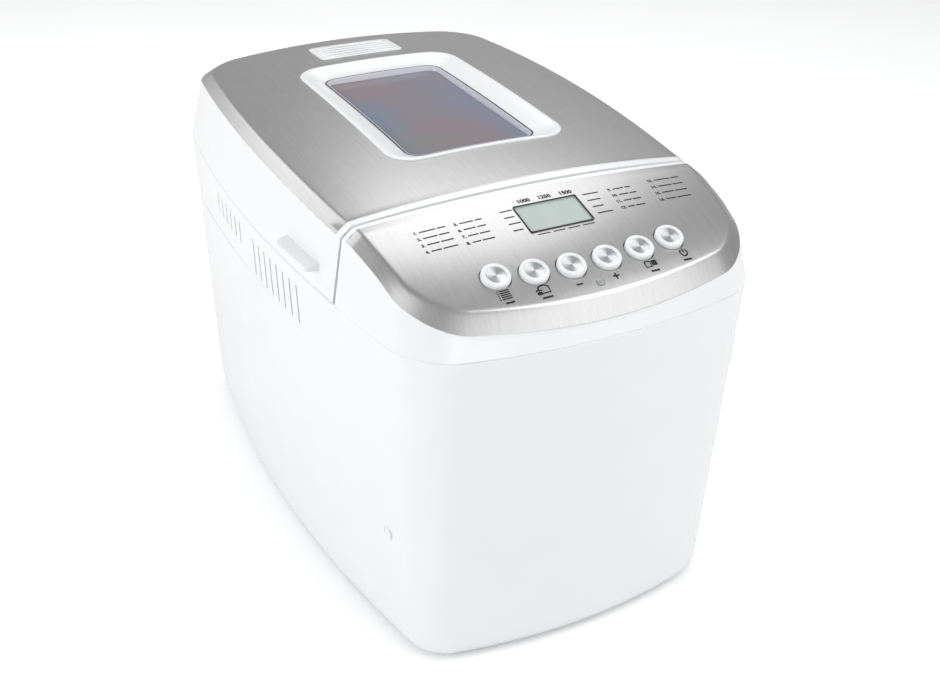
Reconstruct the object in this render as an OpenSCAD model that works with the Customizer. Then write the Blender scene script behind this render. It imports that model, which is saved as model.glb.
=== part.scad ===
// Bread machine: a tapered moulded housing with a sloping control panel, a hinged lid with a window,
// and inside it a baking chamber, a lift-out bread pan, a kneading paddle and its belt drive.
// X is the width, the front faces -Y, Z is up, and the feet stand on z = 0. Millimetres.

/* [Housing outline] */
// Height of the seam between the housing and the parts above it
seam_z = 217.2; // [210:0.2:224]
// Half width of the straight part of the sides at the seam
seam_half_w = 110.4; // [106:0.1:114]
// Reach of the front corners from the centre at the seam
seam_front = 193.8; // [190:0.1:196]
// Reach of the rear corners from the centre at the seam
seam_rear = 204; // [200:0.5:206]
// Corner radius in plan
corner_r = 24.7; // [20:0.1:28]
// How far the sides bulge outwards
side_bulge = 17.4; // [12:0.1:20]
// How far the front bulges forwards
front_bulge = 16; // [12:0.5:20]
// How far the rear bulges backwards
rear_bulge = 5.8; // [4:0.1:8]
// Height of the housing's lower edge
skirt_z = 3.8; // [3:0.1:6]
// Wall thickness of the mouldings
wall = 2.5; // [2:0.1:3]

/* [Lid and panel] */
// Height of the lid's centre line at its front edge
lid_front_z = 268.5; // [264:0.5:272]
// Rise of the lid per millimetre at its front edge
lid_rise = 0.0725; // [0.06:0.0001:0.08]
// Curve of the lid's centre line: its rise eases off towards the rear
lid_curve = -0.000204; // [-0.0003:0.000001:-0.0001]
// Front edge of the lid's metal skin
skin_y = -106.9; // [-109:0.1:-105]
// Middle of the gap between the lid and the control housing
gap_y = -113.2; // [-114:0.1:-112]
// Rear edge of the control panel's metal skin
panel_y = -117.9; // [-120:0.1:-116]
// Thickness of the metal skins
skin_t = 0.8; // [0.6:0.1:1]

/* [Window and vent] */
// Half width of the window frame
frame_w = 58.3; // [56:0.1:62]
// Half length of the window frame along the slope
frame_l = 90.2; // [86:0.1:94]
// Half width of the clear pane
pane_w = 44.6; // [42:0.1:47]
// Half length of the clear pane
pane_l = 77.5; // [74:0.1:80]
// Distance of the window's centre from the origin
window_y = 27.5; // [26:0.1:30]
// Distance of the steam vent's centre from the origin
vent_y = 148.6; // [146:0.1:151]

/* [Controls] */
// Radius of a button cap
button_r = 8.5; // [8:0.1:9.2]
// Travel of a button
button_travel = 1.2; // [0.8:0.1:1.4]
// Half width of the display bezel
display_w = 19.9; // [18:0.1:22]
// Half height of the display bezel
display_l = 11.6; // [11:0.1:13]

/* [Baking chamber and pan] */
// Distance of the pan's centre from the origin
pan_y = 36; // [34:1:38]
// Half width of the baking chamber
chamber_w = 84; // [82:1:88]
// Half length of the baking chamber
chamber_l = 114; // [112:1:116]
// Height of the chamber's floor
chamber_z = 62; // [60:0.5:64]
// Height of the pan's rim
pan_top = 203; // [200:0.5:204]

/* [Drive] */
// Radius of the large pulley
pulley_r = 45; // [40:1:46]
// Radius of the motor's pulley
pinion_r = 9; // [8:0.5:10]
// Position of the motor's axis
motor_x = -30; // [-34:1:-26]
// Position of the motor's axis along the depth
motor_y = -146; // [-148:1:-144]
// Radius of the drive shafts
shaft_r = 4; // [3.5:0.1:4.5]

/* [Hidden] */

$fn = 64;

// Places in a section vector
HALF_W = 0;
FRONT = 1;
REAR = 2;
RADIUS = 3;
SIDE = 4;
FRONT_SWELL = 5;
REAR_SWELL = 6;
FLARE = 7;

// Steps along each stretch of an outline, and places along a straight cut across it
END_STEPS = 4;
CORNER_STEPS = 6;
SIDE_STEPS = 5;
CUT_PLACES = [0.935, 0.7, 0.47, 0.23, 0];

white = [0.93, 0.94, 0.95];
steel = [0.68, 0.69, 0.70];
dark = [0.16, 0.17, 0.19];
zinc = [0.60, 0.62, 0.64];

// Plan sections: at the seam, at the foot, along the outer edge of the top and along its crest
seam_section = [seam_half_w, seam_front, seam_rear, corner_r, side_bulge, front_bulge, rear_bulge, 0.0002];
foot_section = [seam_half_w - 4.2, seam_front - 11.9, seam_rear - 3.3, corner_r - 7.5, side_bulge + 2.1,
    front_bulge - 2.5, rear_bulge - 1, 0.000345];
edge_section = [seam_half_w - 4.5, seam_front - 3.3, seam_rear - 18, corner_r + 1.4, side_bulge - 3.9,
    front_bulge, rear_bulge, 0.000152];
crest_section = edge_section - [6.1, 5.2, 7.9, 3, 0.5, 1, 0.5, 0];
lid_section = seam_section - [0, 0, 0, 0, 0, 0, 4.5, 0];

foot_z = 14;
edge_break = 0.25;
lid_gap = 0.7;
groove = 0.6;
side_rim_drop = 5.7;
front_rim_drop = 11.4;
half_gap = 0.8;
rear_edge_y = gap_y + half_gap;
front_edge_y = gap_y - half_gap;
crown = 0.00058;
rear_crown = 0.00051;
panel_crown = 0.00027;
panel_centre_y = -155;
lid_centre_y = 45;

hinge_y = seam_rear + rear_bulge - 4.5;
hinge_z = seam_z + 0.3;
hinge_x = 62;
knuckle_r = 4.3;
pin_r = 2;
running = 0.05;

deck_z = 206;
chamber_top = 204.8;
sheet = 1.2;
glass_y = 30;
roof_z = 256;

belt_z = 17.5;
belt_w = 6;
belt_t = 1.4;
belt_gap = 0.3;
plate_z = 40;
plate_t = 2;
base_z = 7;
base_t = 2.5;

pivot_z = 195;
bail_x = 70;
bail_z = 208;
bail_r = 2;
bail_y = 104.6;
bail_bend = 8;

// Keys, indicator and display
button_x = [-53.2, -32.2, -10.8, 10.8, 32.2, 53.2];
button_y = [-176.8, -179.6, -181.2, -181.2, -179.6, -176.8];
disc_r = 5;
plane_y = -180;
display_y = -142.8;
lens_y = -193.7;
lens_r = 2.5;
board_z = -15;
switch_h = 3.5;

// Air slots, screw plugs, cord gland, feet and screws
slot_pitch = 10.2;
slot_w = 1.7;
slot_top = 206.8;
front_slot_y = 9.7;
rear_slot_y = 38;
front_slots = 8;
rear_slots = 6;
slot_y = concat([for (i = [0 : front_slots - 1]) front_slot_y - slot_pitch * i],
    [for (i = [0 : rear_slots - 1]) rear_slot_y + (slot_pitch + 0.6) * i]);
front_slot_h = 25.2;
rear_slot_h = 14;
plug_x = 108.7;
plug_y = -152.9;
plug_z = 84.5;
plug_r = 4.2;
gland_x = -80;
gland_z = 32;
gland_r = 9;
foot_x = 68;
front_foot_y = -166;
rear_foot_y = 176;
screw_x = 85;
liner_screw_x = 116;
liner_screw_ys = [-60, 110];
screw_ys = [-100, 20, 150];
standoff_ys = [-50, 122];

// Heating element and temperature probe
heater_z = 77;
heater_r = 3.3;
heater_bend = 16;
heater_w = 75;
heater_l = 104;
terminal_x = 12;
sensor_z = 112;

// Belt run between the two pulleys
belt_dy = motor_y - pan_y;
belt_span = sqrt(motor_x * motor_x + belt_dy * belt_dy);
belt_lean = asin((pulley_r - pinion_r) / belt_span);
belt_heading = atan2(belt_dy, motor_x);

// Finger ledges on the lid, and the pan
grip_x = 117;
grip_z = 229.6;
grip_t = 3.6;
pan_section = [71, 96, 96, 20, 0, 0, 0, 0];
pan_base = 86;
pan_t = 1.4;

// ---- outlines ----

// Moves a point of a plain rounded rectangle out onto the bulged and flared one
function bulged(p, s) =
    let (reach = p.y < 0 ? s[FRONT] : s[REAR])
    let (swell = p.y < 0 ? s[FRONT_SWELL] : s[REAR_SWELL])
    let (u = p.x / s[HALF_W])
    let (v = p.y / reach)
    [(p.x + s[SIDE] * u * (1 - v * v)) * (1 + s[FLARE] * p.y), p.y + swell * v * (1 - u * u)];

// Section drawn in by d on every side
function inset(s, d) = s - [d, d, d, min(d, s[RADIUS] - 4), 0, 0, 0, 0];

// Right-hand run from the front's centre round the corner to the side at y_end
function front_run(s, y_end) =
    let (a = s[HALF_W])
    let (b = s[FRONT])
    let (r = s[RADIUS])
    concat(
        [for (i = [0 : END_STEPS]) bulged([(a - r) * i / END_STEPS, -b], s)],
        [for (i = [1 : CORNER_STEPS]) let (t = 90 * i / CORNER_STEPS)
            bulged([a - r + r * sin(t), r - b - r * cos(t)], s)],
        [for (i = [1 : SIDE_STEPS]) bulged([a, r - b + (y_end + b - r) * i / SIDE_STEPS], s)]);

// Right-hand run from the side at y_start round the corner to the rear's centre
function rear_run(s, y_start) =
    let (a = s[HALF_W])
    let (b = s[REAR])
    let (r = s[RADIUS])
    concat(
        [for (i = [0 : SIDE_STEPS - 1]) bulged([a, y_start + (b - r - y_start) * i / SIDE_STEPS], s)],
        [for (i = [0 : CORNER_STEPS - 1]) let (t = 90 * i / CORNER_STEPS)
            bulged([a - r + r * cos(t), b - r + r * sin(t)], s)],
        [for (i = [0 : END_STEPS]) bulged([(a - r) * (1 - i / END_STEPS), b], s)]);

// A whole ring from its right-hand half
function mirrored(half) =
    concat(half, [for (i = [len(half) - 2 : -1 : 1]) [-half[i].x, half[i].y]]);

function full_ring(s) =
    mirrored(concat(front_run(s, 0), [for (p = rear_run(s, 0)) if (p.y > 0) p]));

// The part of a ring in front of y_cut, closed by a straight line
function front_ring(s, y_cut) =
    let (run = front_run(s, y_cut))
    let (last = run[len(run) - 1])
    mirrored(concat(run, [for (f = CUT_PLACES) [last.x * f, y_cut]]));

// The part of a ring behind y_cut, closed by a straight line
function rear_ring(s, y_cut) =
    let (run = rear_run(s, y_cut))
    mirrored(concat([for (f = reversed(CUT_PLACES)) [run[0].x * f, y_cut]], run));

function at_z(points, z) = [for (p = points) [p.x, p.y, z]];

function between(a, b, t) = a + (b - a) * t;

// Section of the lower housing at height z
function housing_section(z) =
    between(foot_section, seam_section, max(0, (z - foot_z) / (seam_z - foot_z)));

// ---- the top surface ----

// Fall of the control panel's centre line at a distance d in front of the lid's edge
function panel_fall(d) = 0.201 * d + 0.000342 * d * d + 0.0000103 * d * d * d;

function panel_slope(y) =
    let (d = skin_y - y)
    0.201 + 0.000684 * d + 0.000031 * d * d;

function lid_slope(y) = lid_rise + 2 * lid_curve * (y - skin_y);

// Crown of the top across its width
function crown_at(y) = y < -105 ? between(panel_crown, crown, max(0, (y + 125) / 20))
    : between(crown, rear_crown, (y + 105) / 300);

function top_z(x, y) =
    lid_front_z - crown_at(y) * x * x
    + (y > skin_y ? (lid_rise + lid_curve * (y - skin_y)) * (y - skin_y) : -panel_fall(skin_y - y));

// Height lost across the sloping rim between the crest and the outer edge
function rim_drop(y) = between(side_rim_drop, front_rim_drop, min(1, max(0, (-150 - y) / 50)));

function on_top(points, down) = [for (p = points) [p.x, p.y, top_z(p.x, p.y) - down]];

function shrunk(points, centre_y, f) =
    [for (p = points) [p.x * f, centre_y + (p.y - centre_y) * f]];

// Outer edge of the rim, spread = 1 on the edge and more beyond it. Along the straight cut at
// y_cut there is no rim, only an edge broken by a small chamfer.
function rim_ring(edge, crest, y_cut, down, spread) =
    let (corner_x = max([for (i = [0 : len(edge) - 1]) abs(edge[i].y - y_cut) < 0.01 ? crest[i].x : 0]))
    [for (i = [0 : len(edge) - 1])
        let (c = crest[i])
        let (e = edge[i])
        let (straight = abs(e.y - y_cut) < 0.01)
        straight && abs(e.x) <= corner_x ? [e.x, e.y, top_z(e.x, e.y) - down - edge_break * (down > 0 ? 0 : 1)]
        : [between(c.x, e.x, spread), straight ? e.y : between(c.y, e.y, spread),
            top_z(c.x, c.y) - down - rim_drop(c.y) * spread]];

// Rings of the crowned top from the outer edge in towards the centre
function top_rings(edge, crest, y_cut, centre_y, down, spread = 1) =
    concat([rim_ring(edge, crest, y_cut, down, spread)],
        [for (f = [1, 0.8, 0.6, 0.4, 0.2]) on_top(shrunk(crest, centre_y, f), down)]);

function reversed(list) = [for (i = [len(list) - 1 : -1 : 0]) list[i]];

function mean(points) = [for (k = [0 : 2])
    let (values = [for (p = points) p[k]]) values * [for (v = values) 1] / len(values)];

// Solid through a stack of rings with equal numbers of points. The ends are closed by fans,
// or with ring = true the last ring joins the first.
module loft(rings, ring = false) {
    n = len(rings[0]);
    m = len(rings);
    last = ring ? m - 1 : m - 2;
    sides = [for (j = [0 : last]) for (i = [0 : n - 1])
        let (k = (i + 1) % n)
        let (u = (j + 1) % m)
        each [[j * n + i, u * n + i, u * n + k], [j * n + i, u * n + k, j * n + k]]];
    low = [for (i = [0 : n - 1]) [m * n, i, (i + 1) % n]];
    high = [for (i = [0 : n - 1]) [m * n + 1, (m - 1) * n + (i + 1) % n, (m - 1) * n + i]];
    points = [for (r = rings) each r];
    polyhedron(
        points = ring ? points : concat(points, [mean(rings[0]), mean(rings[m - 1])]),
        faces = ring ? sides : concat(sides, low, high),
        convexity = 8);
}

// ---- small shared shapes ----

// Rounded rectangle of half width w, half length l and corner radius r, made of true arcs
module round_rect(w, l, r) {
    square([2 * (w - r), 2 * l], center = true);
    square([2 * w, 2 * (l - r)], center = true);
    for (x = [-1, 1]) for (y = [-1, 1]) translate([x * (w - r), y * (l - r)]) circle(r);
}

module round_block(w, l, r, h) linear_extrude(h) round_rect(w, l, r);

module tube(outer, inner, h) linear_extrude(h) difference() {
    circle(outer);
    circle(inner);
}

// Frame in plan: outer and inner rounded rectangles
module round_frame(w, l, r, inner_w, inner_l, inner_r, h) linear_extrude(h) difference() {
    round_rect(w, l, r);
    round_rect(inner_w, inner_l, inner_r);
}

// Children placed on the lid's sloping surface
module on_lid(y) translate([0, y, top_z(0, y)]) rotate([atan(lid_slope(y)), 0, 0]) children();

// Slab that follows the lid's surface, between two heights above it
module lid_slab(low, high) {
    edge = rear_ring(edge_section, skin_y);
    crest = rear_ring(crest_section, skin_y + edge_break);
    loft(concat(reversed(top_rings(edge, crest, skin_y, lid_centre_y, -low)),
        top_rings(edge, crest, skin_y, lid_centre_y, -high)));
}

plane_tilt = atan(panel_slope(plane_y));

// Children placed in the tilted plane of the buttons
module on_panel() translate([0, plane_y, top_z(0, plane_y)]) rotate([plane_tilt, 0, 0]) children();

// Place of a surface point in that plane
function in_panel(x, y) =
    let (d = y - plane_y)
    let (h = top_z(x, y) - top_z(0, plane_y))
    [x, d * cos(plane_tilt) + h * sin(plane_tilt), h * cos(plane_tilt) - d * sin(plane_tilt)];

module on_display() translate([0, display_y, top_z(0, display_y)])
    rotate([atan(panel_slope(display_y)), 0, 0]) children();

// Holes through the panel for the buttons, the lens and the display
module panel_holes(clear, half_w, half_l, r) {
    on_panel() for (i = [0 : 5]) translate(in_panel(button_x[i], button_y[i]))
        translate([0, 0, -12]) cylinder(r = button_r + clear, h = 24);
    on_panel() translate(in_panel(0, lens_y)) translate([0, 0, -12]) cylinder(r = lens_r + 0.05, h = 24);
    on_display() translate([0, 0, -12]) round_block(half_w, half_l, r, 24);
}

// ---- housing ----

module lower_housing() color(white) difference() {
    loft([
        at_z(full_ring(inset(housing_section(foot_z), 5)), skirt_z),
        at_z(full_ring(inset(housing_section(foot_z), 2)), 5.6),
        at_z(full_ring(inset(housing_section(foot_z), 0.5)), 9),
        at_z(full_ring(housing_section(foot_z)), foot_z),
        at_z(full_ring(housing_section(80)), 80),
        at_z(full_ring(housing_section(150)), 150),
        at_z(full_ring(seam_section), seam_z - groove),
        at_z(full_ring(inset(seam_section, groove)), seam_z),
        at_z(full_ring(inset(seam_section, wall)), seam_z),
        at_z(full_ring(inset(housing_section(110), wall)), 110),
        at_z(full_ring(inset(housing_section(foot_z), wall)), foot_z),
        at_z(full_ring(inset(housing_section(foot_z), 7)), skirt_z)
    ], ring = true);
    for (side = [-1, 1]) for (y = slot_y)
        let (h = y > front_slot_y + 1 ? rear_slot_h : front_slot_h)
        translate([side * 124 - 10, y - slot_w / 2, slot_top - h]) cube([20, slot_w, h]);
    for (side = [-1, 1]) translate([side * plug_x, plug_y, plug_z]) rotate([0, 90, 0])
        cylinder(r = plug_r + 0.1, h = 20, center = true);
    translate([gland_x, 185, gland_z]) rotate([-90, 0, 0]) cylinder(r = gland_r + running, h = 30);
    for (side = [-1, 1]) translate([side * hinge_x - 18, hinge_y - 14.5, hinge_z - knuckle_r - 0.8])
        cube([36, 30, 20]);
}

module base_plate() color(white) difference() {
    loft([
        at_z(full_ring(inset(housing_section(foot_z), 6)), base_z),
        at_z(full_ring(inset(housing_section(foot_z), 6)), base_z + base_t)
    ]);
    for (i = [-4 : 4]) translate([i * 9 - 1.5, -150, base_z - 1]) cube([3, 50, base_t + 2]);
    for (x = [-1, 1]) for (y = screw_ys) translate([x * screw_x, y, base_z - 1])
        cylinder(r = 2.1, h = base_t + 2);
}

module feet() color(dark) for (x = [-foot_x, foot_x]) for (y = [front_foot_y, rear_foot_y])
    translate([x, y, 0]) round_block(18, 12, 10, base_z);

module base_screws() color(zinc) for (x = [-1, 1]) for (y = screw_ys)
    translate([x * screw_x, y, base_z]) {
        translate([0, 0, -1.6]) difference() {
            cylinder(r = 4, h = 1.6);
            translate([0, 0, -0.1]) cylinder(r = 1.6, h = 1, $fn = 6);
        }
        cylinder(r = 2, h = 12);
    }

module screw_plugs() color(white) for (side = [-1, 1]) translate([side * plug_x, plug_y, plug_z])
    rotate([0, side * 90, 0]) translate([0, 0, -2.2]) cylinder(r = plug_r, h = 2.6);

module mains_gland() color(dark) translate([gland_x, 195.5, gland_z]) rotate([-90, 0, 0]) difference() {
    union() {
        cylinder(r = gland_r, h = 12);
        cylinder(r = gland_r + 2, h = 3);
    }
    translate([0, 0, 4]) cylinder(r = 3.6, h = 10);
}

// ---- control housing and panel ----

function control_rings(d, down, bottom) =
    let (y = front_edge_y - d)
    let (edge = front_ring(inset(edge_section, d), y))
    let (crest = front_ring(inset(crest_section, d), y - edge_break))
    concat([
        at_z(front_ring(inset(seam_section, d + groove), y), bottom),
        at_z(front_ring(inset(seam_section, d), y), bottom + groove)],
        top_rings(edge, crest, y, panel_centre_y, down));

module panel_recess(y, depth) {
    edge = front_ring(edge_section, y);
    crest = front_ring(crest_section, y - edge_break);
    skirt = rim_ring(edge, crest, y, depth, 1.3);
    loft(concat(reversed(top_rings(edge, crest, y, panel_centre_y, depth, 1.3)), [at_z(skirt, 320)]));
}

module control_housing() color(white) difference() {
    loft(control_rings(0, 0, seam_z));
    loft(control_rings(wall, wall + skin_t, seam_z - groove - 0.1));
    panel_recess(panel_y + 0.1, skin_t + 0.05);
    panel_holes(0.3, display_w - 0.6, display_l - 0.6, 1);
}

module control_panel() color(steel) difference() {
    edge = front_ring(edge_section, panel_y);
    crest = front_ring(crest_section, panel_y - edge_break);
    loft(concat(reversed(top_rings(edge, crest, panel_y, panel_centre_y, skin_t)),
        top_rings(edge, crest, panel_y, panel_centre_y, 0)));
    panel_holes(0.3, display_w - 0.6, display_l - 0.6, 1);
}

module display_bezel() color(dark) on_display() {
    translate([0, 0, 0.05]) round_frame(display_w, display_l, 2, 18.2, 9.6, 1, 0.9);
    translate([0, 0, -6]) round_frame(display_w - 0.7, display_l - 0.7, 1, 18.6, 10.3, 0.5, 6.05);
}

module display_window() color([0.62, 0.68, 0.64]) on_display() {
    translate([0, 0, -1]) round_block(18.5, 10.2, 0.5, 1);
    translate([0, 0, -5]) round_block(18.5, 10.2, 0.5, 4);
}

module control_board() color([0.16, 0.36, 0.22]) on_panel() {
    translate([0, 6, board_z]) linear_extrude(1.6) square([150, 34], center = true);
    for (i = [0 : 5]) let (p = in_panel(button_x[i], button_y[i]))
        translate([p.x, p.y, board_z + 1.6]) linear_extrude(switch_h) square(6, center = true);
}

module indicator_lens() color([0.8, 0.85, 0.9]) on_panel() translate(in_panel(0, lens_y)) {
    translate([0, 0, -5]) cylinder(r = lens_r, h = 5.4);
}

// A white cap with a dished top, and the stem that reaches down to its switch
module button_cap(i) color(white) on_panel() {
    p = in_panel(button_x[i], button_y[i]);
    stem_end = board_z + 1.6 + switch_h + button_travel + 0.1;
    translate(p) rotate_extrude() polygon([[0, -4], [button_r - 1.5, -4], [button_r, -3.4],
        [button_r, 0.6], [button_r - 0.5, 1.5], [button_r - 1.6, 2], [disc_r + 0.6, 1.8],
        [disc_r + 0.05, 1.3], [disc_r + 0.05, 0.5], [0, 0.5]]);
    translate([p.x, p.y, stem_end]) cylinder(r = 2, h = p.z - 3.5 - stem_end);
}

module button_disc(i) color(steel) on_panel() translate(in_panel(button_x[i], button_y[i]))
    rotate_extrude() polygon([[0, 0.5], [disc_r, 0.5], [disc_r, 1.2], [disc_r - 0.4, 1.5],
        [2, 1.2], [0, 1.1]]);

// ---- deck, hinge and chamber ----

module top_deck() color(white) difference() {
    union() {
        loft([
            at_z(full_ring(inset(housing_section(deck_z), wall + 0.4)), deck_z),
            at_z(full_ring(inset(housing_section(deck_z), wall + 0.4)), deck_z + 2.5)
        ]);
        translate([-108, front_edge_y - wall, deck_z + 2.5]) cube([216, wall, seam_z - deck_z - 2.6]);
    }
    translate([0, pan_y, deck_z - 1]) round_block(chamber_w, chamber_l, 16, 5);
    for (side = [-1, 1]) translate([side * hinge_x - 18.2, hinge_y - 18.7, deck_z - 1])
        cube([36.4, 30, 5]);
}

// Each bracket stands on the deck's rear corner and carries two ears round the lid's knuckle
module hinge_brackets() color(white) for (side = [-1, 1]) translate([side * hinge_x, 0, 0]) {
    translate([-18, hinge_y - 18.5, deck_z]) cube([36, 15.6, 2.5]);
    for (x = [-17, 11]) difference() {
        union() {
            translate([x, hinge_y - 14.5, deck_z + 2.5]) cube([6, 11.6, hinge_z - deck_z - 2.5]);
            translate([x, hinge_y, hinge_z]) rotate([0, 90, 0]) cylinder(r = knuckle_r, h = 6);
        }
        translate([x - 1, hinge_y, hinge_z]) rotate([0, 90, 0]) cylinder(r = pin_r, h = 8);
        translate([x - 1, hinge_y - 24.5, hinge_z + 0.2]) cube([8, 20, 10]);
    }
}

module hinge_pins() color(zinc) for (side = [-1, 1])
    translate([side * hinge_x - 17, hinge_y, hinge_z]) rotate([0, 90, 0]) cylinder(r = pin_r, h = 34);

module baking_chamber() color(steel) difference() {
    union() {
        translate([0, pan_y, chamber_z - sheet]) round_block(chamber_w + sheet, chamber_l + sheet, 17,
            chamber_top - chamber_z + sheet);
        translate([0, pan_y, chamber_top]) round_block(chamber_w + 9, chamber_l + 9, 22, sheet);
    }
    translate([0, pan_y, chamber_z]) round_block(chamber_w, chamber_l, 16, 160);
    translate([0, pan_y, chamber_z - 3]) cylinder(r = 12.3, h = 6);
    for (x = [-terminal_x, terminal_x]) translate([x, pan_y - chamber_l - 3, heater_z]) rotate([-90, 0, 0])
        cylinder(r = 5.05, h = 6);
    translate([chamber_w - 3, pan_y, sensor_z]) rotate([0, 90, 0]) cylinder(r = 3.05, h = 8);
}

// Sheathed element: a loop round the foot of the pan, open at the front where both ends leave
module heating_element() color([0.25, 0.25, 0.27]) translate([0, pan_y, heater_z]) {
    a = heater_w - heater_bend;
    b = heater_l - heater_bend;
    for (x = [-1, 1]) translate([x * heater_w, 0, 0]) rotate([90, 0, 0])
        cylinder(r = heater_r, h = 2 * b, center = true);
    translate([-a, heater_l, 0]) rotate([0, 90, 0]) cylinder(r = heater_r, h = 2 * a);
    for (x = [-1, 1]) {
        translate([x * a, b, 0]) rotate([0, 0, x > 0 ? 0 : 90]) bend(heater_bend);
        translate([x * a, -b, 0]) rotate([0, 0, x > 0 ? -90 : 180]) bend(heater_bend);
        translate([x > 0 ? 22 : -a, -heater_l, 0]) rotate([0, 90, 0]) cylinder(r = heater_r, h = a - 22);
        translate([x * 22, -heater_l - 10, 0]) rotate([0, 0, x > 0 ? 90 : 0]) bend(10);
        translate([x * terminal_x, -heater_l - 10, 0]) rotate([90, 0, 0]) cylinder(r = heater_r, h = 16);
    }
}

// Quarter bend of the element's tube
module bend(r) rotate_extrude(angle = 90) translate([r, 0]) circle(heater_r);

module heater_terminals() color(white) for (x = [-terminal_x, terminal_x])
    translate([x, pan_y - chamber_l, heater_z]) rotate([90, 0, 0]) {
        translate([0, 0, -2]) tube(5, heater_r + 0.05, 14);
        translate([0, 0, sheet]) tube(8, 5, 3);
    }

module temperature_sensor() color(zinc) translate([chamber_w, pan_y, sensor_z]) rotate([0, 90, 0]) {
    translate([0, 0, -5]) cylinder(r = 3, h = 14);
    translate([0, 0, sheet]) tube(7, 3, 2);
}

module pan_seat() color(steel) translate([0, pan_y, chamber_z]) {
    tube(52, 48, 9);
    for (a = [45, 225]) rotate([0, 0, a]) translate([48.1, -8, 0]) cube([12, 16, 1.5]);
}

// ---- chassis and drive ----

module chassis_plate() color(zinc) difference() {
    union() {
        translate([-92, -176, plate_z]) cube([184, 346, plate_t]);
        for (x = [-1, 1]) for (y = screw_ys) translate([x * screw_x, y, base_z + base_t])
            cylinder(r = 6, h = plate_z - base_z - base_t);
        for (x = [-60, 60]) for (y = standoff_ys) translate([x, y, plate_z + plate_t])
            cylinder(r = 6, h = chamber_z - sheet - plate_z - plate_t);
    }
    for (x = [-1, 1]) for (y = screw_ys) translate([x * screw_x, y, 0]) cylinder(r = 2.05, h = base_z + 14);
    translate([0, pan_y, plate_z - 1]) cylinder(r = 15.1, h = 5);
    translate([motor_x, motor_y, plate_z - 1]) cylinder(r = 12, h = 5);
    for (x = [-1, 1]) translate([x * 50, -60, plate_z - 1]) round_block(22, 14, 6, 5);
}

module bearing_housing() color([0.75, 0.76, 0.78]) translate([0, pan_y, 0]) difference() {
    union() {
        translate([0, 0, 29]) cylinder(r = 15, h = 18);
        translate([0, 0, plate_z + plate_t]) cylinder(r = 27, h = 3);
        translate([0, 0, 46]) cylinder(r = 12, h = 18);
        for (a = [0 : 60 : 300]) rotate([0, 0, a]) translate([11, -1.2, 45]) cube([12, 2.4, 8]);
    }
    translate([0, 0, 20]) cylinder(r = shaft_r + running, h = 60);
}

module motor() color([0.62, 0.62, 0.64]) translate([motor_x, motor_y, 0]) difference() {
    union() {
        translate([0, 0, 45]) cylinder(r = 30, h = 62);
        translate([0, 0, 107]) cylinder(r = 20, h = 6);
        translate([0, 0, 36]) cylinder(r = 9, h = 9);
        translate([-34, -12, 62]) cube([68, 24, 28]);
    }
    translate([0, 0, 30]) cylinder(r = 3 + running, h = 40);
}

module motor_bracket() color(zinc) translate([motor_x, motor_y, plate_z + plate_t]) difference() {
    union() {
        round_block(38, 26, 5, 2.9);
        for (x = [-1, 1]) translate([x * 36.5 - 1.5, -10, 0]) cube([3, 20, 30]);
    }
    translate([0, 0, -1]) cylinder(r = 9.2, h = 5);
    for (x = [-1, 1]) for (y = [-18, 18]) translate([x * 32, y, -1]) cylinder(r = 2, h = 5);
}

module motor_pulley() color(zinc) translate([motor_x, motor_y, 0]) {
    translate([0, 0, 14]) cylinder(r = pinion_r + 3, h = 2.5);
    translate([0, 0, 16.5]) cylinder(r = pinion_r, h = 8);
    translate([0, 0, 24.5]) cylinder(r = pinion_r + 3, h = 2.5);
    translate([0, 0, 27]) cylinder(r = 3, h = 42);
}

module drive_shaft() color(steel) translate([0, pan_y, 12]) cylinder(r = shaft_r, h = 54);

module drive_pulley() color([0.30, 0.30, 0.32]) translate([0, pan_y, 14]) difference() {
    union() {
        cylinder(r = pulley_r + 3, h = 2.5);
        cylinder(r = pulley_r, h = 12);
        translate([0, 0, 11]) cylinder(r = pulley_r + 3, h = 2.5);
        cylinder(r = 12, h = 14.4);
    }
    translate([0, 0, -1]) cylinder(r = shaft_r, h = 20);
    for (a = [0 : 60 : 300]) rotate([0, 0, a]) translate([26, 0, -1]) cylinder(r = 9.5, h = 20);
}

// Filled outline of the belt's inside or outside, extra beyond the pulleys' radii
module belt_outline(extra) translate([0, pan_y]) rotate(belt_heading) {
    big = pulley_r + extra;
    small = pinion_r + extra;
    circle(big);
    translate([belt_span, 0]) circle(small);
    polygon([
        [big * sin(belt_lean), big * cos(belt_lean)],
        [belt_span + small * sin(belt_lean), small * cos(belt_lean)],
        [belt_span + small * sin(belt_lean), -small * cos(belt_lean)],
        [big * sin(belt_lean), -big * cos(belt_lean)]]);
}

module drive_belt() color(dark) translate([0, 0, belt_z]) linear_extrude(belt_w) difference() {
    belt_outline(belt_gap + belt_t);
    belt_outline(belt_gap);
}

module power_board() color([0.16, 0.36, 0.22]) translate([56, -140, 0]) {
    translate([-28, -30, 56]) cube([56, 56, 1.6]);
    for (x = [-22, 22]) for (y = [-24, 20]) translate([x, y, plate_z + plate_t]) cylinder(r = 3, h = 14);
    translate([-20, -20, 57.6]) cube([22, 18, 16]);
    translate([8, -18, 57.6]) cylinder(r = 8, h = 24);
    translate([-18, 6, 57.6]) cube([34, 14, 12]);
}

// A bar that drives the two fingers under the pan
module drive_coupling() color(zinc) translate([0, pan_y, 0]) difference() {
    union() {
        translate([0, 0, 64.4]) cylinder(r = 9, h = 1.8);
        translate([-16, -4, 66.1]) cube([32, 8, 6]);
    }
    translate([0, 0, 60]) cylinder(r = shaft_r, h = 6);
}

// ---- lid ----

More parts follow.
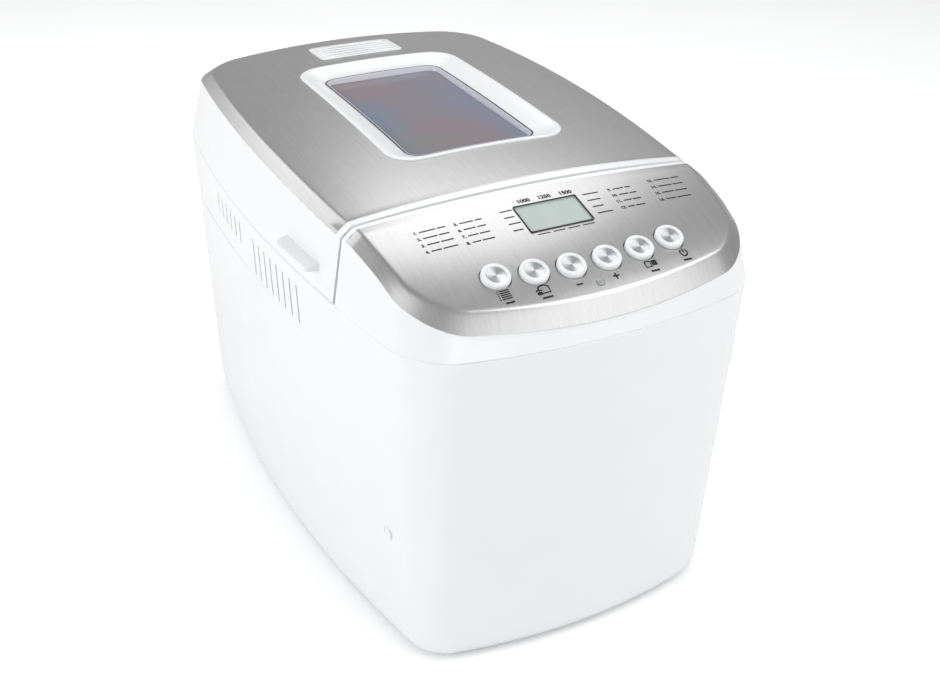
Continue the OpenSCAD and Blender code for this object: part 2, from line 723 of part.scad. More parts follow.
function lid_rings(d, down, bottom) =
    let (y = rear_edge_y + d)
    let (edge = rear_ring(inset(edge_section, d), y))
    let (crest = rear_ring(inset(crest_section, d), y + edge_break))
    concat([
        at_z(rear_ring(inset(lid_section, d + groove), y), bottom),
        at_z(rear_ring(inset(lid_section, d), y), bottom + groove)],
        top_rings(edge, crest, y, lid_centre_y, down));

module lid_recess(y, depth) {
    edge = rear_ring(edge_section, y);
    crest = rear_ring(crest_section, y + edge_break);
    skirt = rim_ring(edge, crest, y, depth, 1.3);
    loft(concat(reversed(top_rings(edge, crest, y, lid_centre_y, depth, 1.3)), [at_z(skirt, 320)]));
}

// Finger ledge on the lid's side, in plan on the right-hand side
module grip_ledge() translate([0, 0, grip_z]) linear_extrude(grip_t)
    polygon([[grip_x, -48], [grip_x + 9.4, -48.5], [128.6, -51.5], [130.2, -57], [130.6, -66],
        [130.2, -78], [129, -88], [127.4, -92], [125, -93], [grip_x, -93]]);

module lid_shell() color(white) difference() {
    union() {
        loft(lid_rings(0, 0, seam_z + lid_gap));
        grip_ledge();
        mirror([1, 0, 0]) grip_ledge();
    }
    loft(lid_rings(wall, wall + skin_t, seam_z + lid_gap - groove - 0.1));
    lid_recess(skin_y - 0.1, skin_t + 0.05);
    on_lid(window_y) translate([0, 0, -16]) round_block(frame_w - 3.5, frame_l - 3.5, 15, 32);
    on_lid(vent_y) translate([0, 0, -16]) round_block(28.5, 14, 3, 32);
    for (side = [-1, 1]) translate([side * hinge_x - 17.6, hinge_y - 8.5, seam_z - 2])
        cube([35.2, 20, 7.5]);
}

module lid_skin() color(steel) difference() {
    edge = rear_ring(edge_section, skin_y);
    crest = rear_ring(crest_section, skin_y + edge_break);
    loft(concat(reversed(top_rings(edge, crest, skin_y, lid_centre_y, skin_t)),
        top_rings(edge, crest, skin_y, lid_centre_y, 0)));
    on_lid(window_y) translate([0, 0, -16]) round_block(frame_w - 3.5, frame_l - 3.5, 15, 32);
    on_lid(vent_y) translate([0, 0, -16]) round_block(28.5, 14, 3, 32);
}

module window_frame() color(white) {
    intersection() {
        lid_slab(0.1, 1.2);
        on_lid(window_y) translate([0, 0, -10]) round_frame(frame_w, frame_l, 18, pane_w, pane_l, 10, 20);
    }
    intersection() {
        lid_slab(-20, 0.15);
        on_lid(window_y) translate([0, 0, -5])
            round_frame(frame_w - 3.7, frame_l - 3.7, 14.8, pane_w, pane_l, 10, 20);
    }
    on_lid(window_y) translate([0, 0, -9])
        round_frame(frame_w - 3.7, frame_l - 3.7, 14.8, frame_w - 6, frame_l - 6, 12.6, 4);
}

module window_pane() color([0.7, 0.78, 0.85, 0.4]) on_lid(window_y) {
    translate([0, 0, -7]) round_block(frame_w - 6.1, frame_l - 6.1, 12.5, 2);
    translate([0, 0, -5]) round_frame(pane_w - 0.1, pane_l - 0.1, 9.9, pane_w - 1.6, pane_l - 1.6, 8.4, 4.5);
}

module inner_glass() color([0.7, 0.78, 0.85, 0.4]) translate([0, glass_y, roof_z])
    round_block(58, 84, 12, 3);

function liner_rings(d, down) = [
    at_z(rear_ring(inset(lid_section, 4.5), rear_edge_y + 4.5), 219.4 - down),
    at_z(rear_ring(inset(lid_section, 13 + d), rear_edge_y + 13 + d), 219.4 - down),
    at_z(rear_ring(inset(edge_section, 18 + d), rear_edge_y + 20 + d), 246 - down),
    at_z(rear_ring(inset(edge_section, 26 + d), rear_edge_y + 28 + d), roof_z - down),
    at_z(shrunk(rear_ring(inset(edge_section, 26 + d), rear_edge_y + 28 + d), 45, 0.4), roof_z - down)];

module lid_liner() color(steel) difference() {
    loft(concat(reversed(liner_rings(0.9, 0.8)), liner_rings(0, 0)));
    translate([0, glass_y, roof_z - 3]) round_block(52, 78, 8, 6);
    for (x = [-40 : 20 : 40]) translate([x - 1, 132, roof_z - 3]) cube([2, 30, 6]);
    for (x = [-1, 1]) for (y = liner_screw_ys) translate([x * liner_screw_x, y, 215])
        cylinder(r = 1.65, h = 6);
    for (side = [-1, 1]) translate([side * hinge_x - 18, hinge_y - 14.6, 215])
        cube([36, 24, 12]);
}

module steam_vent() color(white) difference() {
    union() {
        intersection() {
            lid_slab(0.1, 1);
            on_lid(vent_y) translate([0, 0, -10]) round_block(31, 16.4, 4, 20);
        }
        intersection() {
            lid_slab(-20, 0.15);
            on_lid(vent_y) translate([0, 0, -5]) round_block(28.3, 13.8, 3, 10);
        }
    }
    on_lid(vent_y) for (i = [-2 : 1]) translate([-25, 6 * i + 1.5, -12]) cube([50, 3, 20]);
}

// Knuckles on the pins, with arms that rise inside the lid's rear wall
module lid_hinges() color(white) for (side = [-1, 1]) translate([side * hinge_x, 0, 0]) difference() {
    union() {
        translate([-10.7, hinge_y, hinge_z]) rotate([0, 90, 0]) cylinder(r = knuckle_r, h = 21.4);
        translate([-10.7, hinge_y - 12.3, hinge_z + 0.6]) cube([21.4, 8.8, 4.3]);
        translate([-10.7, hinge_y - 12.3, hinge_z + 4.8]) cube([21.4, 3.8, 9.2]);
    }
    translate([-12, hinge_y, hinge_z]) rotate([0, 90, 0]) cylinder(r = pin_r + running, h = 24);
}

module liner_screws() color(zinc) for (x = [-1, 1]) for (y = liner_screw_ys)
    translate([x * liner_screw_x, y, 216.8]) {
        cylinder(r = 3.5, h = 1.8);
        cylinder(r = 1.6, h = 2.6);
    }

// ---- pan, bail and paddle ----

function pan_ring(d, z) =
    let (taper = 9 * (pan_top - z) / (pan_top - pan_base))
    [for (p = full_ring(inset(pan_section, d + taper))) [p.x, p.y + pan_y, z]];

module bread_pan() color([0.32, 0.32, 0.34]) difference() {
    loft([
        pan_ring(30, pan_base),
        pan_ring(7, pan_base),
        pan_ring(2, pan_base + 2.5),
        pan_ring(0, pan_base + 8),
        pan_ring(0, pan_top - 2.6),
        pan_ring(-5.6, pan_top - 1.6),
        pan_ring(-6, pan_top - 0.8),
        pan_ring(-5.6, pan_top),
        pan_ring(0.4, pan_top),
        pan_ring(pan_t, pan_top - 1.4),
        pan_ring(pan_t, pan_base + 9),
        pan_ring(pan_t + 2, pan_base + 4),
        pan_ring(pan_t + 7, pan_base + 2),
        pan_ring(30, pan_base + 2)
    ]);
    translate([0, pan_y, pan_base - 1]) cylinder(r = 10.05, h = 6);
}

module pan_base_ring() color(zinc) translate([0, pan_y, chamber_z + 0.3]) difference() {
    union() {
        tube(46.5, 44, pan_base - chamber_z - 0.3);
        translate([0, 0, 17]) cylinder(r = 46, h = 2);
    }
    translate([0, 0, 16]) cylinder(r = 13.1, h = 4);
}

module pan_bearing() color([0.75, 0.76, 0.78]) translate([0, pan_y, 0]) difference() {
    union() {
        translate([0, 0, 78.8]) cylinder(r = 13, h = pan_base - 78.8);
        translate([0, 0, pan_base]) cylinder(r = 10, h = 3);
        translate([0, 0, pan_base + 2]) cylinder(r = 12, h = 2.5);
    }
    translate([0, 0, 70]) cylinder(r = shaft_r + running, h = 30);
}

// Riveted plates on the pan's ends with the pivots of the bail
module bail_lugs() color(steel) for (end = [-1, 1]) translate([0, pan_y, pivot_z]) scale([1, end, 1]) {
    translate([-9, 96.2, -9]) cube([18, 1.6, 14]);
    translate([0, 97.8, 0]) rotate([-90, 0, 0]) cylinder(r = 2.5, h = bail_y - 94.8);
    translate([0, bail_y + 3, 0]) rotate([-90, 0, 0]) cylinder(r = 4.2, h = 1.2);
}

// Wire bail folded down along the pan's rim: two arms, two bends and a bar with a grip sleeve
module bail_handle() color(steel) {
    rise = bail_z - pivot_z;
    arm = sqrt(rise * rise + bail_x * bail_x);
    translate([0, pan_y, pivot_z]) rotate([0, -atan2(rise, bail_x), 0]) for (end = [-1, 1]) scale([1, end, 1]) {
        translate([0, bail_y + 2.2, 0]) rotate([90, 0, 0]) tube(6, 2.6, 4.4);
        translate([4, bail_y, 0]) rotate([0, 90, 0]) cylinder(r = bail_r, h = arm - bail_bend - 4);
        translate([arm - bail_bend, bail_y - bail_bend, 0]) rotate_extrude(angle = 90)
            translate([bail_bend, 0]) circle(bail_r);
        translate([arm, 0, 0]) rotate([-90, 0, 0]) cylinder(r = bail_r, h = bail_y - bail_bend);
        translate([arm, 0, 0]) rotate([-90, 0, 0]) cylinder(r = 4.2, h = 40);
    }
}

module paddle_shaft() color(steel) translate([0, pan_y, 72.8]) difference() {
    cylinder(r = shaft_r, h = 36);
    translate([shaft_r - 1, -5, 22]) cube([4, 10, 20]);
}

module kneading_paddle() color([0.30, 0.30, 0.32]) translate([0, pan_y, 91.2]) difference() {
    union() {
        cylinder(r = 9, h = 20);
        translate([0, 1.6, 0]) rotate([90, 0, 0]) linear_extrude(3.2)
            polygon([[0, 1], [40, 1], [43, 4], [42, 14], [34, 30], [22, 44], [12, 50], [6, 48], [0, 20]]);
        cylinder(r1 = 10.5, r2 = 9, h = 3);
    }
    translate([0, 0, -1]) cylinder(r = shaft_r + running, h = 19);
}

// Hub under the pan with two fingers that the drive coupling turns
module pan_coupling() color(zinc) translate([0, pan_y, 0]) difference() {
    union() {
        translate([0, 0, 72.8]) cylinder(r = 12, h = 5.6);
        for (side = [-1, 1]) translate([-5, side * 8.5 - 4, 66.6]) cube([10, 8, 6.3]);
    }
    translate([0, 0, 72]) cylinder(r = shaft_r, h = 8);
}

lower_housing();
base_plate();
feet();
base_screws();
screw_plugs();
mains_gland();
control_housing();
control_panel();
display_bezel();
display_window();
control_board();
indicator_lens();
top_deck();
hinge_brackets();
hinge_pins();
baking_chamber();
pan_seat();
heating_element();
heater_terminals();
temperature_sensor();
chassis_plate();
bearing_housing();
motor();
motor_bracket();
drive_belt();
power_board();
drive_shaft();
drive_pulley();
drive_coupling();
motor_pulley();
lid_shell();
lid_skin();
window_frame();
window_pane();
inner_glass();
lid_liner();
steam_vent();
lid_hinges();
liner_screws();
bread_pan();
pan_base_ring();
pan_bearing();
bail_lugs();
bail_handle();
kneading_paddle();
paddle_shaft();
pan_coupling();
button_cap(0);  // menu_button
button_cap(1);  // weight_button
button_cap(2);  // minus_button
button_cap(3);  // plus_button
button_cap(4);  // crust_button
button_cap(5);  // start_button
button_disc(0);  // menu_disc
button_disc(1);  // weight_disc
button_disc(2);  // minus_disc
button_disc(3);  // plus_disc
button_disc(4);  // crust_disc
button_disc(5);  // start_disc
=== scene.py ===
import bpy
import numpy as np
from mathutils import Matrix


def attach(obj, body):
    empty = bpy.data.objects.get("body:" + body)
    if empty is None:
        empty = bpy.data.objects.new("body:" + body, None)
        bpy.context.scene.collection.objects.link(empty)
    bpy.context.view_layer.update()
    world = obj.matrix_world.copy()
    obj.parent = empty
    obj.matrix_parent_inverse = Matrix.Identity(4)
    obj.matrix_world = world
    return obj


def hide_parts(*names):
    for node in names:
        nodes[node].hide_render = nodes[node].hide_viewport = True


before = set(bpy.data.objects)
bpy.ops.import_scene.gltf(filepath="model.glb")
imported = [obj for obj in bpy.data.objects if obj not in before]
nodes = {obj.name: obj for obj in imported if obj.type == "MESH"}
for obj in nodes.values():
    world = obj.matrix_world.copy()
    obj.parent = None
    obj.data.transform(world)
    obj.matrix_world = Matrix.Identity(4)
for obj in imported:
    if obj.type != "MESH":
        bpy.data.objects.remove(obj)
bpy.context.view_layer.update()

# ---- Camera, table and studio light ----
# The machine stands on a pale table with a white surround. Soft lamps behind, to the right and in
# front draw bright fields with darker gaps between them in the steel, and one lifts the left side.

VIEW_RIGHT = (0.8964, -0.4433, 0.0)
VIEW_UP = (0.2221, 0.4491, 0.8655)
VIEW_BACK = (-0.3836, -0.7758, 0.5010)
CAMERA_PLACE = (-0.3074, -0.6616, 0.5294)
LENS_MM = 45.96
SENSOR_MM = 36


def turned(right, up, back, place):
    """World matrix whose columns are the three directions and the place."""
    return Matrix([[right[k], up[k], back[k], place[k]] for k in range(3)] + [[0, 0, 0, 1]])


lens = bpy.data.cameras.new("camera")
lens.lens = LENS_MM
lens.sensor_width = SENSOR_MM
camera = bpy.data.objects.new("camera", lens)
camera.matrix_world = turned(VIEW_RIGHT, VIEW_UP, VIEW_BACK, CAMERA_PLACE)
bpy.context.scene.collection.objects.link(camera)
bpy.context.scene.camera = camera
bpy.context.scene.view_settings.view_transform = "Standard"


class Shade:
    """A shader socket that turns Python arithmetic into Math nodes."""

    def __init__(self, tree, socket):
        self.tree = tree
        self.socket = socket

    def math(self, operation, *values):
        """Adds a Math node of an operation on numbers or other shades."""
        node = self.tree.nodes.new("ShaderNodeMath")
        node.operation = operation
        for slot, value in zip(node.inputs, values):
            if isinstance(value, Shade):
                self.tree.links.new(value.socket, slot)
            else:
                slot.default_value = value
        return Shade(self.tree, node.outputs[0])

    def __add__(self, other): return self.math("ADD", self, other)
    def __radd__(self, other): return self.math("ADD", other, self)
    def __sub__(self, other): return self.math("SUBTRACT", self, other)
    def __rsub__(self, other): return self.math("SUBTRACT", other, self)
    def __mul__(self, other): return self.math("MULTIPLY", self, other)
    def __rmul__(self, other): return self.math("MULTIPLY", other, self)

    def clamped(self):
        """The value, held between 0 and 1."""
        return self.math("MAXIMUM", self.math("MINIMUM", self, 1.0), 0.0)


class Finish:
    """A node material or world, with one method that adds any other node to it."""

    def __init__(self, name, owner=None):
        self.owner = owner or bpy.data.materials.new(name)
        self.owner.use_nodes = True
        self.tree = self.owner.node_tree
        self.shader = self.tree.nodes.get("Principled BSDF")

    def feed(self, slot, value):
        """Links a shade to a socket, or sets the socket to a plain value."""
        if isinstance(value, Shade):
            self.tree.links.new(value.socket, slot)
        else:
            slot.default_value = value

    def node(self, kind, settings=None, output=0, sockets=None):
        """Adds a node of a type: its settings first, then values or links by socket name or number."""
        made = self.tree.nodes.new(kind)
        for key, value in (settings or {}).items():
            setattr(made, key, value)
        for key, value in (sockets or {}).items():
            self.feed(made.inputs[key], value)
        return Shade(self.tree, made.outputs[output])

    def set(self, **sockets):
        """Feeds sockets of the Principled shader by name."""
        for key, value in sockets.items():
            self.feed(self.shader.inputs[key.replace("_", " ")], value)

    def noise(self, scale, stretch=(1, 1, 1), detail=3.0):
        """Noise on Object coordinates that are stretched by three factors first."""
        place = self.node("ShaderNodeTexCoord", output="Object")
        spread = self.node("ShaderNodeMapping", sockets={"Vector": place, "Scale": stretch})
        return self.node("ShaderNodeTexNoise",
                         sockets={"Vector": spread, "Scale": scale, "Detail": detail})

    def mix(self, factor, low, high):
        """A colour between low, where the factor is 0, and high, where it is 1."""
        return self.node("ShaderNodeMix", {"data_type": "RGBA"}, 2, {0: factor, 6: low, 7: high})

    def bump(self, height, depth):
        """A normal that a height disturbs, with a depth in metres."""
        return self.node("ShaderNodeBump", sockets={"Height": height, "Distance": depth})


TABLE_COLOUR = (0.90, 0.905, 0.91, 1)
TABLE_HALF = 30.0
TABLE_LIFT = 0.2
TABLE_SPECKLE = 0.02
table_finish = Finish("pale_table")
table_finish.set(Base_Color=TABLE_COLOUR, Roughness=0.7, Emission_Strength=1.0)
camera_ray = table_finish.node("ShaderNodeLightPath", output="Is Camera Ray")
speckle = table_finish.noise(3.0)
table_finish.set(Emission_Color=table_finish.mix(camera_ray * (speckle * TABLE_SPECKLE + TABLE_LIFT),
                                                 (0, 0, 0, 1), (1, 1, 1, 1)))
table_mesh = bpy.data.meshes.new("table_top")
table_mesh.from_pydata([(-TABLE_HALF, -TABLE_HALF, 0), (TABLE_HALF, -TABLE_HALF, 0),
                        (TABLE_HALF, TABLE_HALF, 0), (-TABLE_HALF, TABLE_HALF, 0)], [], [(0, 1, 2, 3)])
table_top = bpy.data.objects.new("table_top", table_mesh)
table_mesh.materials.append(table_finish.owner)
bpy.context.scene.collection.objects.link(table_top)

AMBIENT = 0.52
GLOSSY_AMBIENT = 0.48
studio = Finish("studio", bpy.data.worlds.new("studio"))
seen = studio.node("ShaderNodeLightPath", output="Is Camera Ray")
mirrored_ray = studio.node("ShaderNodeLightPath", output="Is Glossy Ray")
through = studio.node("ShaderNodeLightPath", output="Is Transmission Ray")
backdrop = studio.tree.nodes["Background"]
studio.feed(backdrop.inputs["Color"], (1, 1, 1, 1))
level = (seen + through) * (1 - AMBIENT) + mirrored_ray * (GLOSSY_AMBIENT - AMBIENT) + AMBIENT
studio.feed(backdrop.inputs["Strength"], level.clamped())
bpy.context.scene.world = studio.owner


def soft_lamp(name, place, aim, width, height, power):
    """A rectangular area lamp at place that faces aim."""
    data = bpy.data.lights.new(name, "AREA")
    data.shape = "RECTANGLE"
    data.size = width
    data.size_y = height
    data.energy = power
    lamp = bpy.data.objects.new(name, data)
    back = np.subtract(place, aim)
    back = back / np.linalg.norm(back)
    right = np.cross((0.0, 0.0, 1.0), back)
    right = right / np.linalg.norm(right)
    lamp.matrix_world = turned(right, np.cross(back, right), back, place)
    bpy.context.scene.collection.objects.link(lamp)
    return lamp


soft_lamp("rear_lamp", (0.57, 0.91, 1.55), (-0.03, -0.12, 0.265), 0.92, 0.9, 5.3)
soft_lamp("rear_left_lamp", (-0.75, 1.3, 1.05), (0.0, 0.0, 0.27), 0.9, 0.7, 3.0)
soft_lamp("right_lamp", (0.80, -0.76, 1.52), (0.0, -0.19, 0.24), 1.1, 0.65, 8.0)
soft_lamp("front_lamp", (0.90, -1.55, 0.80), (0.0, -0.2, 0.24), 1.3, 1.1, 6.3)
soft_lamp("left_lamp", (-1.7, -0.2, 0.9), (0.0, 0.0, 0.15), 1.2, 1.0, 14)
# A card that mirrors in the steel rim but adds nothing to the white walls
front_card = soft_lamp("front_card", (-0.40, -1.85, 0.62), (0.0, -0.2, 0.24), 1.3, 1.0, 9.0)
front_card.visible_diffuse = False

# ---- Lower housing ----
# One deep moulding in white gloss plastic, drawn in towards the foot, with bulged sides, a rounded
# lower edge and an open top. Each side has upright air slots in a shallow sunk band, and there are
# notches for the hinges and bores for the screw plugs and the cord's gland.

SEAM_Z = 0.2172
# Half width, reach to the front and to the rear, corner radius, bulge of the side, of the front and of
# the rear, and flare
SEAM = np.array([0.1104, 0.1938, 0.204, 0.0247, 0.0174, 0.016, 0.0058, 0.2])
FOOT = SEAM + (-0.0042, -0.0119, -0.0033, -0.0075, 0.0021, -0.0025, -0.001, 0.145)
FOOT_Z = 0.014
SKIRT_Z = 0.0038
WALL = 0.0025
GROOVE = 0.0006
SLOT_W = 0.0017
SLOT_TOP = 0.2068
FRONT_SLOTS = 0.0097 - 0.0102 * np.arange(8)
REAR_SLOTS = 0.038 + 0.0108 * np.arange(6)
FRONT_SLOT_H = 0.0252
REAR_SLOT_H = 0.014
BAND_FRONT = -0.0665
BAND_REAR = 0.165
BAND_LOW = 0.1795
BAND_HIGH = 0.2125
BAND_DEPTH = 0.0006
BAND_EDGE = 0.0005
BAND_SAG = 0.30
BAND_SAG_Y = -0.005
SIDE_X = 0.09
HAIR = 0.0001
FOOT_ROUND = 0.0052
FOOT_WALL = 0.0018
LEAST_RADIUS = 0.004
HINGES = (-0.062, 0.062)
NOTCH_LOW = (-0.018, 0.1908, 0.2124)
NOTCH_HIGH = (0.018, 0.22, 0.2375)
PLUG_PLACES = ((-0.1087, -0.1529, 0.0845), (0.1087, -0.1529, 0.0845))
PLUG_BORE_R = 0.0043
GLAND_PLACE = (-0.080, 0.2, 0.032)
GLAND_BORE_R = 0.00905


def half_outline(sections, low=None, high=None, marks=(), ends=14, turns=18, run=24):
    """Right-hand half of an outline, one row per section: a rounded rectangle whose sides and ends
    bulge by parabolas and which flares towards the rear. It runs anticlockwise from the front's
    centre, or from the straight cut at y = low, to the rear's centre, or to the cut at y = high."""
    a, front, rear, r, side, front_swell, rear_swell, flare = np.atleast_2d(sections).T[:, :, None]
    one = np.ones_like(a)
    end = np.linspace(0, 1, ends, endpoint=False)
    turn = np.linspace(0, np.pi / 2, turns, endpoint=False)
    cut = 1 - (1 - np.linspace(0, 1, 2 * ends, endpoint=False)) ** 2
    start = r - front if low is None else one * np.reshape(low, (-1, 1))
    stop = rear - r if high is None else one * np.reshape(high, (-1, 1))
    if len(marks):
        toward = np.linspace(0, 1, run // 3, endpoint=False)
        side_y = np.hstack([start + (marks[0] - start) * toward, one * marks,
                            marks[-1] + (stop - marks[-1]) * (1 - toward[::-1])])
    else:
        side_y = start + (stop - start) * np.linspace(0, 1, run + 1)
    x, y = a + 0 * side_y, side_y
    if low is None:
        x = np.hstack([(a - r) * end, a - r + r * np.sin(turn), x])
        y = np.hstack([0 * end - front, r - front - r * np.cos(turn), y])
    if high is None:
        x = np.hstack([x, a - r + r * np.sin(turn[::-1]), (a - r) * (1 - end[1:]), 0 * a])
        y = np.hstack([y, rear - r + r * np.cos(turn[::-1]), rear + 0 * end[1:], rear])
    u = x / a
    v = y / np.where(y < 0, front, rear)
    out_x = (x + side * u * (1 - v * v)) * (1 + flare * y)
    out_y = y + np.where(y < 0, front_swell, rear_swell) * v * (1 - u * u)
    if low is not None:
        out_x = np.hstack([out_x[:, :1] * cut, out_x])
        out_y = np.hstack([start + 0 * cut, out_y])
    if high is not None:
        out_x = np.hstack([out_x, out_x[:, -1:] * cut[::-1]])
        out_y = np.hstack([out_y, stop + 0 * cut])
    return out_x, out_y


def drawn_in(sections, distance):
    """Sections drawn in by a distance on every side, with their corner radius drawn in too."""
    out = np.atleast_2d(sections) + 0 * np.reshape(distance, (-1, 1))
    d = np.reshape(distance, (-1, 1)) + 0 * out[:, :1]
    out[:, :3] -= d
    out[:, 3:4] -= np.minimum(d, out[:, 3:4] - LEAST_RADIUS)
    return out


def whole(x, y, z):
    """Whole rings of points from right-hand halves that start and end on the centre line."""
    z = z + 0 * x
    return np.stack([np.hstack([x, -x[:, -2:0:-1]]), np.hstack([y, y[:, -2:0:-1]]),
                     np.hstack([z, z[:, -2:0:-1]])], axis=-1)


def ring_faces(rows, columns, loop=False):
    """Quads between rings, and a cap on the first and the last ring unless the rows form a loop."""
    j, i = np.mgrid[0:rows if loop else rows - 1, 0:columns]
    k = (i + 1) % columns
    m = (j + 1) % rows
    faces = np.stack([j * columns + i, j * columns + k, m * columns + k, m * columns + i],
                     axis=-1).reshape(-1, 4).tolist()
    if not loop:
        faces.append(list(range(columns))[::-1])
        faces.append(list(range((rows - 1) * columns, rows * columns)))
    return faces


def walled_faces(keep):
    """Quads of a wall between an outer and an inner grid of rings, where keep says which cells are
    there. Every open edge is closed by quads that join the two grids."""
    rows, columns = keep.shape
    inner = (rows + 1) * columns
    j, i = np.nonzero(keep)
    k = (i + 1) % columns
    quads = np.c_[j * columns + i, j * columns + k, (j + 1) * columns + k, (j + 1) * columns + i]
    faces = [quads, quads[:, ::-1] + inner]
    blank = np.zeros((1, columns), bool)
    left = np.roll(keep, 1, axis=1)
    above = np.r_[keep, blank]
    below = np.r_[blank, keep]
    for open_edge, dj, di, flip in ((keep & ~left, 1, 0, False), (left & ~keep, 1, 0, True),
                                    (above & ~below, 0, 1, True), (below & ~above, 0, 1, False)):
        j, i = np.nonzero(open_edge)
        one_end = j * columns + i
        other_end = (j + dj) * columns + (i + di) % columns
        joined = np.c_[one_end, other_end, other_end + inner, one_end + inner]
        faces.append(joined[:, ::-1] if flip else joined)
    return np.concatenate(faces).tolist()


SHARP_ANGLE = 32.0


def piece(name, points, faces, finish, body, replaced=(), sharp=SHARP_ANGLE):
    """A mesh piece with its finish and material slot, riding on a body, for the nodes it replaces."""
    mesh = bpy.data.meshes.new(name)
    mesh.from_pydata(np.reshape(points, (-1, 3)).tolist(), [], faces)
    mesh.shade_smooth()
    mesh.set_sharp_from_angle(angle=np.radians(sharp))
    made = bpy.data.objects.new(name, mesh)
    bpy.context.scene.collection.objects.link(made)
    mesh.materials.append(finish.owner)
    if replaced:
        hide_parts(*replaced)
    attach(made, body)
    return made


def turned_ring(radius, height, segments=64):
    """Rings round the z axis at radii and heights."""
    angle = np.linspace(0, 2 * np.pi, segments, endpoint=False)
    r = np.reshape(radius, (-1, 1))
    return np.stack([r * np.cos(angle), r * np.sin(angle), np.reshape(height, (-1, 1)) + 0 * angle * r],
                    axis=-1)


def punched(target, *cutters):
    """Cuts closed shapes, given as points and faces, out of a piece, and keeps the result as its
    mesh."""
    for points, faces in cutters:
        mesh = bpy.data.meshes.new("cutter")
        mesh.from_pydata(np.reshape(points, (-1, 3)).tolist(), [], faces)
        tool = bpy.data.objects.new("cutter", mesh)
        bpy.context.scene.collection.objects.link(tool)
        change = target.modifiers.new("cut", "BOOLEAN")
        change.operation = "DIFFERENCE"
        change.solver = "EXACT"
        change.object = tool
        graph = bpy.context.evaluated_depsgraph_get()
        result = bpy.data.meshes.new_from_object(target.evaluated_get(graph))
        target.modifiers.clear()
        old = target.data
        target.data = result
        bpy.data.meshes.remove(old)
        bpy.data.objects.remove(tool)
        bpy.data.meshes.remove(mesh)
    target.data.set_sharp_from_angle(angle=np.radians(SHARP_ANGLE))


def box_shape(low, high):
    """A closed box between two corners, as points and faces."""
    (x0, y0, z0), (x1, y1, z1) = low, high
    ring = np.array([(x0, y0, 0), (x1, y0, 0), (x1, y1, 0), (x0, y1, 0)])
    return np.stack([ring + (0, 0, z0), ring + (0, 0, z1)]), ring_faces(2, 4)


white_gloss = Finish("white_gloss_plastic")
ripple = white_gloss.noise(30.0, detail=1.0)
grain = white_gloss.noise(700.0)
white_gloss.set(Base_Color=white_gloss.mix(ripple, (0.835, 0.855, 0.862, 1), (0.855, 0.872, 0.878, 1)),
                Roughness=grain * 0.08 + 0.2,
                Normal=white_gloss.bump(ripple, 0.0001))

slot_edges = np.sort(np.r_[FRONT_SLOTS, REAR_SLOTS][:, None] + [-SLOT_W / 2, SLOT_W / 2], axis=None)
marks = np.sort(np.r_[slot_edges, BAND_FRONT - BAND_EDGE, BAND_FRONT, 0.017, 0.024, 0.031,
                      np.linspace(0.099, BAND_REAR - 0.007, 8), BAND_REAR, BAND_REAR + BAND_EDGE])
levels = np.array([SKIRT_Z, 0.0041, 0.0050, 0.0066, 0.0088, 0.0112, FOOT_Z, 0.03, 0.05, 0.07, 0.09,
                   0.11, 0.13, 0.15, 0.160, BAND_LOW, BAND_LOW + BAND_EDGE, SLOT_TOP - FRONT_SLOT_H, 0.187,
                   SLOT_TOP - REAR_SLOT_H, 0.200, SLOT_TOP, BAND_HIGH, BAND_HIGH + BAND_EDGE,
                   SEAM_Z - GROOVE, SEAM_Z - 0.0002, SEAM_Z])
foot_turn = np.clip((FOOT_Z - levels) / (FOOT_Z - SKIRT_Z), 0, 1)
edge_draw = FOOT_ROUND * (1 - np.sqrt(1 - foot_turn ** 2))
edge_draw[-2:] = (GROOVE / 2, GROOVE)


def housing_section(z):
    """Section of the lower housing at a height, between the foot's and the seam's."""
    rise = np.clip((np.reshape(z, (-1, 1)) - FOOT_Z) / (SEAM_Z - FOOT_Z), 0, 1)
    return FOOT + (SEAM - FOOT) * rise


z_column = levels[:, None]
outer = whole(*half_outline(drawn_in(housing_section(levels), edge_draw), marks=marks), z_column)
inner = whole(*half_outline(drawn_in(housing_section(levels), np.maximum(WALL, edge_draw + FOOT_WALL)),
                            marks=marks), z_column)
# The band is sunk by its depth, and its lower edge sags towards both ends by a parabola
on_side = np.abs(outer[0, :, 0]) > SIDE_X
in_band = on_side & (outer[0, :, 1] > BAND_FRONT - HAIR) & (outer[0, :, 1] < BAND_REAR + HAIR)
band_rows = (levels > BAND_LOW + HAIR) & (levels < BAND_HIGH + HAIR)
outer[..., 0] -= np.sign(outer[..., 0]) * BAND_DEPTH * (band_rows[:, None] & in_band)
edge_rows = (levels > BAND_LOW - HAIR) & (levels < BAND_LOW + BAND_EDGE + HAIR)
for wall in (outer, inner):
    wall[..., 2] -= BAND_SAG * (wall[..., 1] - BAND_SAG_Y) ** 2 * (edge_rows[:, None] & on_side)
keep = np.ones((len(levels) - 1, outer.shape[1]), bool)
cell_x = (outer[0, :, 0] + np.roll(outer[0, :, 0], -1)) / 2
cell_y = (outer[0, :, 1] + np.roll(outer[0, :, 1], -1)) / 2
cell_z = (levels[1:] + levels[:-1]) / 2
for slots, height in ((FRONT_SLOTS, FRONT_SLOT_H), (REAR_SLOTS, REAR_SLOT_H)):
    in_slot = (np.abs(cell_y[:, None] - slots).min(axis=1) < SLOT_W / 2) & (np.abs(cell_x) > SIDE_X)
    in_height = (cell_z < SLOT_TOP) & (cell_z > SLOT_TOP - height)
    keep[np.ix_(in_height, in_slot)] = False
lower_housing = piece("lower_housing_shell", [outer, inner], walled_faces(keep), white_gloss,
                      "base", ("lower_housing",))
BORE_SIDES = 48
notches = [box_shape(np.add((x, 0, 0), NOTCH_LOW), np.add((x, 0, 0), NOTCH_HIGH)) for x in HINGES]
plug_bore = turned_ring([PLUG_BORE_R] * 2, [-0.01, 0.01], BORE_SIDES)[..., [2, 1, 0]] * (1, 1, -1)
